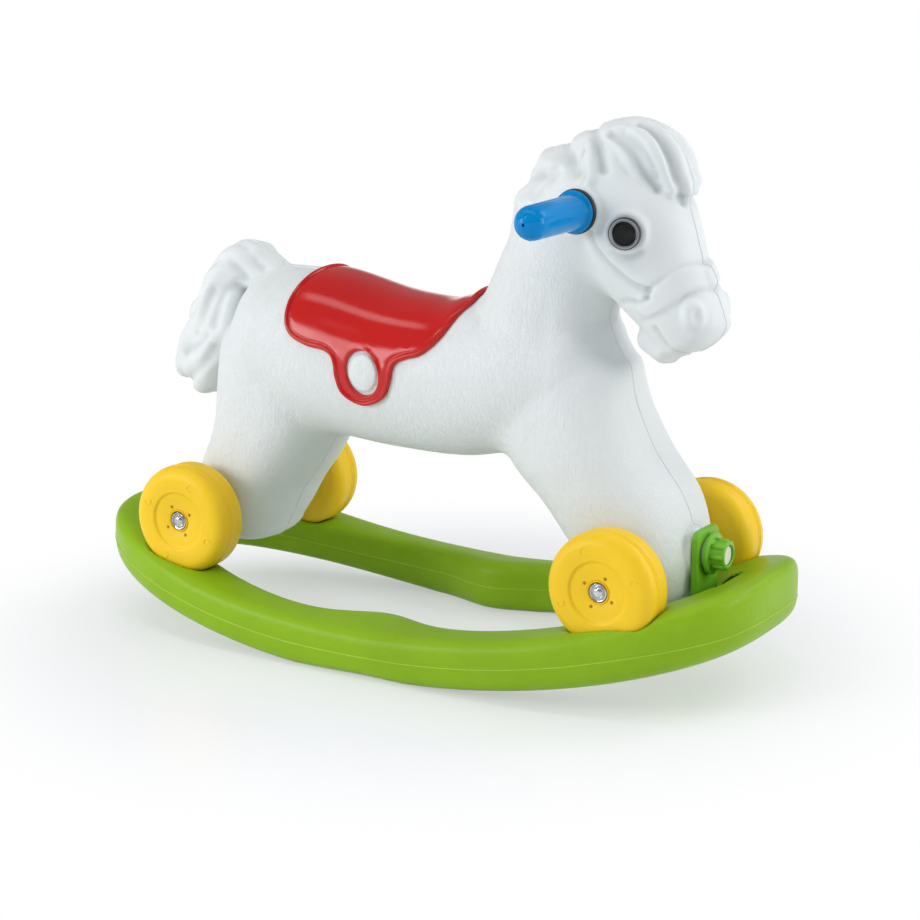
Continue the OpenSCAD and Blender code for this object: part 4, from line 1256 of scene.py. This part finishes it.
def wheel_well(block, end, side):
    """Field of the rounded room that a wheel stands in."""
    x = MID_X + end * HALF_BASE
    out = np.sqrt((block.x - x) ** 2 + (block.z - AXLE_Z) ** 2) - (WELL_R - WELL_ROUND)
    wide = np.abs(block.y - side * WHEEL_Y) - (WELL_HALF - WELL_ROUND)
    beyond = np.sqrt(np.maximum(out, 0) ** 2 + np.maximum(wide, 0) ** 2)
    return (beyond + np.minimum(np.maximum(out, wide), 0) - WELL_ROUND).astype(np.float32)


# The outer mould line lies below mid height, and lower still at the front
LINE_DROP, FRONT_DROP = 4, 7
FRONT_FROM, FRONT_REACH = 230, 110


def make_rocker():
    block, f = rocker_field()
    points, quads = skin(f, block)
    points = settle(f, block, points)
    mid = points[quads].mean(1)
    # Faces inside the knob pockets take the darker green of painted shade.
    inside = np.minimum(*(np.abs(knob_pocket(*mid.T, end)) for end in (1, -1))) < 1.0
    rocker = new_piece("rocker_ring", points, quads, [GREEN, POCKET_SHADE], inside.astype(int))
    seat_piece(thinned(rocker, ROCKER_TRIANGLES), ROOT, "rocker_green", "rocker")
    outer, hole = ring_lines(240)
    lines = [np.column_stack([o, (rail_low(o[:, 0]) + rail_top(o[:, 0])) / 2])
             for o in (outer * 0.9995, hole * 1.0005)]
    front = np.clip((outer[:, 0] - FRONT_FROM) / FRONT_REACH, 0, 1)
    lines[0][:, 2] -= LINE_DROP + FRONT_DROP * front * front
    lines = [settle(f, block, line) for line in lines]
    # The mould lines wear the lighter green of a painted highlight.
    seat_ridges("rocker_mould_lines", lines, 0.6, RIDGE_HIGHLIGHT, (ROOT, "rocker_green"), closed=True)


TAB_IN, TAB_OUT, FOOT_OUT = 276.4, 283.4, 322.4
TAB_HALF, TAB_R, FOOT_T = 22, 8, 8
BAR_X, FOOT_RISE = 307.0, 26
TAB_TOP = {1: 149.5, -1: 125.5}


def make_brackets():
    for end, name in ENDS:
        low = float(arc_up(end * BAR_X, FRONT_R)) + FOOT_RISE
        outline = [(-TAB_HALF, low), (TAB_HALF, low)]
        for y, start in ((TAB_HALF - TAB_R, 0), (TAB_R - TAB_HALF, 90)):
            outline += arc(y, TAB_TOP[end] - TAB_R, TAB_R, start, start + 90, 9)
        n = len(outline)
        plate = [(x, y, z) for x in sorted((end * TAB_IN, end * TAB_OUT)) for y, z in outline]
        faces = [list(range(n))[::-1], list(range(n, 2 * n))]
        faces += [[i, (i + 1) % n, n + (i + 1) % n, n + i] for i in range(n)]
        foot = [(x, y, z) for z in (low, low + FOOT_T) for y in (-TAB_HALF, TAB_HALF)
                for x in sorted((end * TAB_IN, end * FOOT_OUT))]
        block = [[0, 2, 3, 1], [4, 5, 7, 6], [0, 1, 5, 4], [2, 6, 7, 3], [0, 4, 6, 2], [1, 3, 7, 5]]
        both = gather([(np.array(plate), faces), (np.array(foot), block)])
        tab = new_piece(name + "_bracket_tab", *both, [LEAF], sharp=40)
        bevel = tab.modifiers.new("soft_edges", "BEVEL")
        bevel.width = 1.3 * MM
        bevel.segments = 3
        bevel.limit_method = "ANGLE"
        bevel.angle_limit = math.radians(50)
        seat_piece(tab, ROOT, "fixing_green", name + "_bracket")


KNOB_X, RIBS_X = 286.2, 296.4


def make_knobs():
    profile = [(9.3, 0), (18.7, 0), (19.3, 0.5), (19.5, 1.2), (19.5, 2.8), (19.2, 3.5), (18.5, 4.0),
               (14.4, 4.3), (13.4, 5.2), (13.1, 7), (13.0, 16.2), (12.5, 17.4), (11.6, 18.0), (9.9, 18.0),
               (9.3, 17.4), (9.3, 0)]
    for end, name in ENDS:
        body, axis = name + "_knob", (end, 0, 0)
        origin = np.array([end * KNOB_X, 0, KNOB_Z[end]])
        turned_piece(body + "_body", profile, origin, axis, LEAF, 40, (body, "fixing_green", body), 72)
        seat_ring(body + "_ribs", GRIP_RIBS, (end * RIBS_X, 0, KNOB_Z[end]), axis, (body, "fixing_green"),
                  Count=8, Ring_Radius=12.4 * MM, Rib_Radius=2.6 * MM, Rib_Length=12.5 * MM, Finish=LEAF)


def dress_plain_nodes():
    """Gives the CAD nodes that stay in view their finishes."""
    ends = [name for _, name in ENDS]
    dress = {STEEL: ["axle_washers", "bracket_screws", "handle_bar"] + [e + "_axle" for e in ends],
             NYLON: [e + n for e in ends for n in ("_leg_bushes", "_insert", "_stud", "_knob_washer")]}
    for mat, names in dress.items():
        for name in names:
            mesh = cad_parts[name].data
            mesh.materials.clear()
            mesh.materials.append(mat)


# Studio

FLOOR_REACH = 40.0
FLOOR_TONE, FILL_TONE = (0.92, 0.94, 0.98, 1), (0.93, 0.96, 1.0, 1)
BACKDROP, CEILING = (1, 1, 1, 1), (0.25, 0.26, 0.27, 1)
GLOW_NEAR, GLOW_FAR, GLOW_LEAST = 0.27, 0.54, 0.43
# Place, aim and size in m, and power in W
LAMPS = {"top_box": ((0.0, -0.4, 2.2), (0.0, 0.0, 0.1), (2.2, 0.4), 8),
         "left_box": ((-1.7, -2.2, 1.0), (0.0, 0.0, 0.25), (1.4, 1.2), 36),
         "front_box": ((2.4, 0.6, 1.0), (0.1, 0.0, 0.2), (1.2, 1.2), 22),
         "back_box": ((1.4, 1.7, 1.9), (0.1, 0.0, 0.15), (1.4, 1.2), 15),
         "spark_box": ((-0.5, -1.8, 2.0), (0.0, 0.0, 0.3), (0.2, 0.2), 4),
         "left_glint_box": ((-2.4, -1.3, 0.5), (0.2, 0.0, 0.4), (0.4, 0.6), 1.5),
         "right_glint_box": ((2.0, -1.6, 0.75), (0.2, 0.0, 0.4), (0.3, 0.6), 1.5)}
CAMERA_PLACE, CAMERA_AIM = (1.1796, -1.9406, 0.7475), (0.01612, 0.00724, 0.17761)
SENSOR, PHOTO_WIDTH, PHOTO_FOCAL = 36.0, 920.0, 2434.79


def seen_rays(w):
    """1 on rays from the camera, also by reflection or through clear pieces."""
    path = w.add("ShaderNodeLightPath").outputs
    return w.math("MAXIMUM", path["Is Camera Ray"],
                  w.math("MAXIMUM", path["Is Glossy Ray"], path["Is Transmission Ray"]))


def make_floor():
    mesh = bpy.data.meshes.new("studio_floor")
    corners = [(x * FLOOR_REACH, y * FLOOR_REACH, 0) for x, y in ((-1, -1), (1, -1), (1, 1), (-1, 1))]
    mesh.from_pydata(corners, [], [(0, 1, 2, 3)])
    floor = placed("studio_floor", mesh)
    mat = bpy.data.materials.new("pale_floor")
    w = fresh_tree(mat)
    lit = w.add("ShaderNodeBsdfPrincipled", Base_Color=FLOOR_TONE, Roughness=0.22, Specular_IOR_Level=0.4)
    glow = w.add("ShaderNodeEmission", Color=BACKDROP, Strength=1.0)
    far = w.add("ShaderNodeVectorMath", {"operation": "LENGTH"})
    w.put(far.inputs[0], w.add("ShaderNodeTexCoord").outputs["Object"])
    fade = w.ramp(far.outputs["Value"], GLOW_NEAR, GLOW_FAR, GLOW_LEAST, 1.0)
    w.blend(w.math("MULTIPLY", fade, seen_rays(w)), lit, glow, "ShaderNodeOutputMaterial")
    mesh.materials.append(mat)


def make_world():
    world = bpy.data.worlds.new("studio")
    bpy.context.scene.world = world
    w = fresh_tree(world)
    way = w.add("ShaderNodeNewGeometry").outputs["Incoming"]
    rise = w.math("MULTIPLY", w.add("ShaderNodeSeparateXYZ", Vector=way).outputs["Z"], -1.0)
    room = w.mix(w.ramp(rise, 0.06, 0.16), BACKDROP, CEILING)
    back = w.add("ShaderNodeBackground", Color=room, Strength=1.0)
    fill = w.add("ShaderNodeBackground", Color=FILL_TONE, Strength=0.5)
    w.blend(seen_rays(w), fill, back, "ShaderNodeOutputWorld")


def aim(obj, place, target):
    obj.location = place
    obj.rotation_euler = (Vector(target) - Vector(place)).to_track_quat("-Z", "Y").to_euler()


def make_lamps():
    for name, (place, target, size, power) in LAMPS.items():
        lamp = bpy.data.lights.new(name, "AREA")
        lamp.shape = "RECTANGLE"
        lamp.size, lamp.size_y = size
        lamp.energy = power
        aim(placed(name, lamp), place, target)


def make_camera():
    cam = bpy.data.cameras.new("photo_camera")
    cam.sensor_width = SENSOR
    cam.lens = PHOTO_FOCAL * SENSOR / PHOTO_WIDTH
    bpy.context.scene.camera = placed("photo_camera", cam)
    aim(bpy.context.scene.camera, CAMERA_PLACE, CAMERA_AIM)


make_camera()
make_world()
make_lamps()
make_floor()
horse_block, horse_shape = make_horse()
make_saddle(horse_block, horse_shape)
make_grips()
make_eyes()
make_wheels()
make_axle_caps()
make_rocker()
make_brackets()
make_knobs()
dress_plain_nodes()
bpy.context.scene.view_settings.view_transform = "Standard"
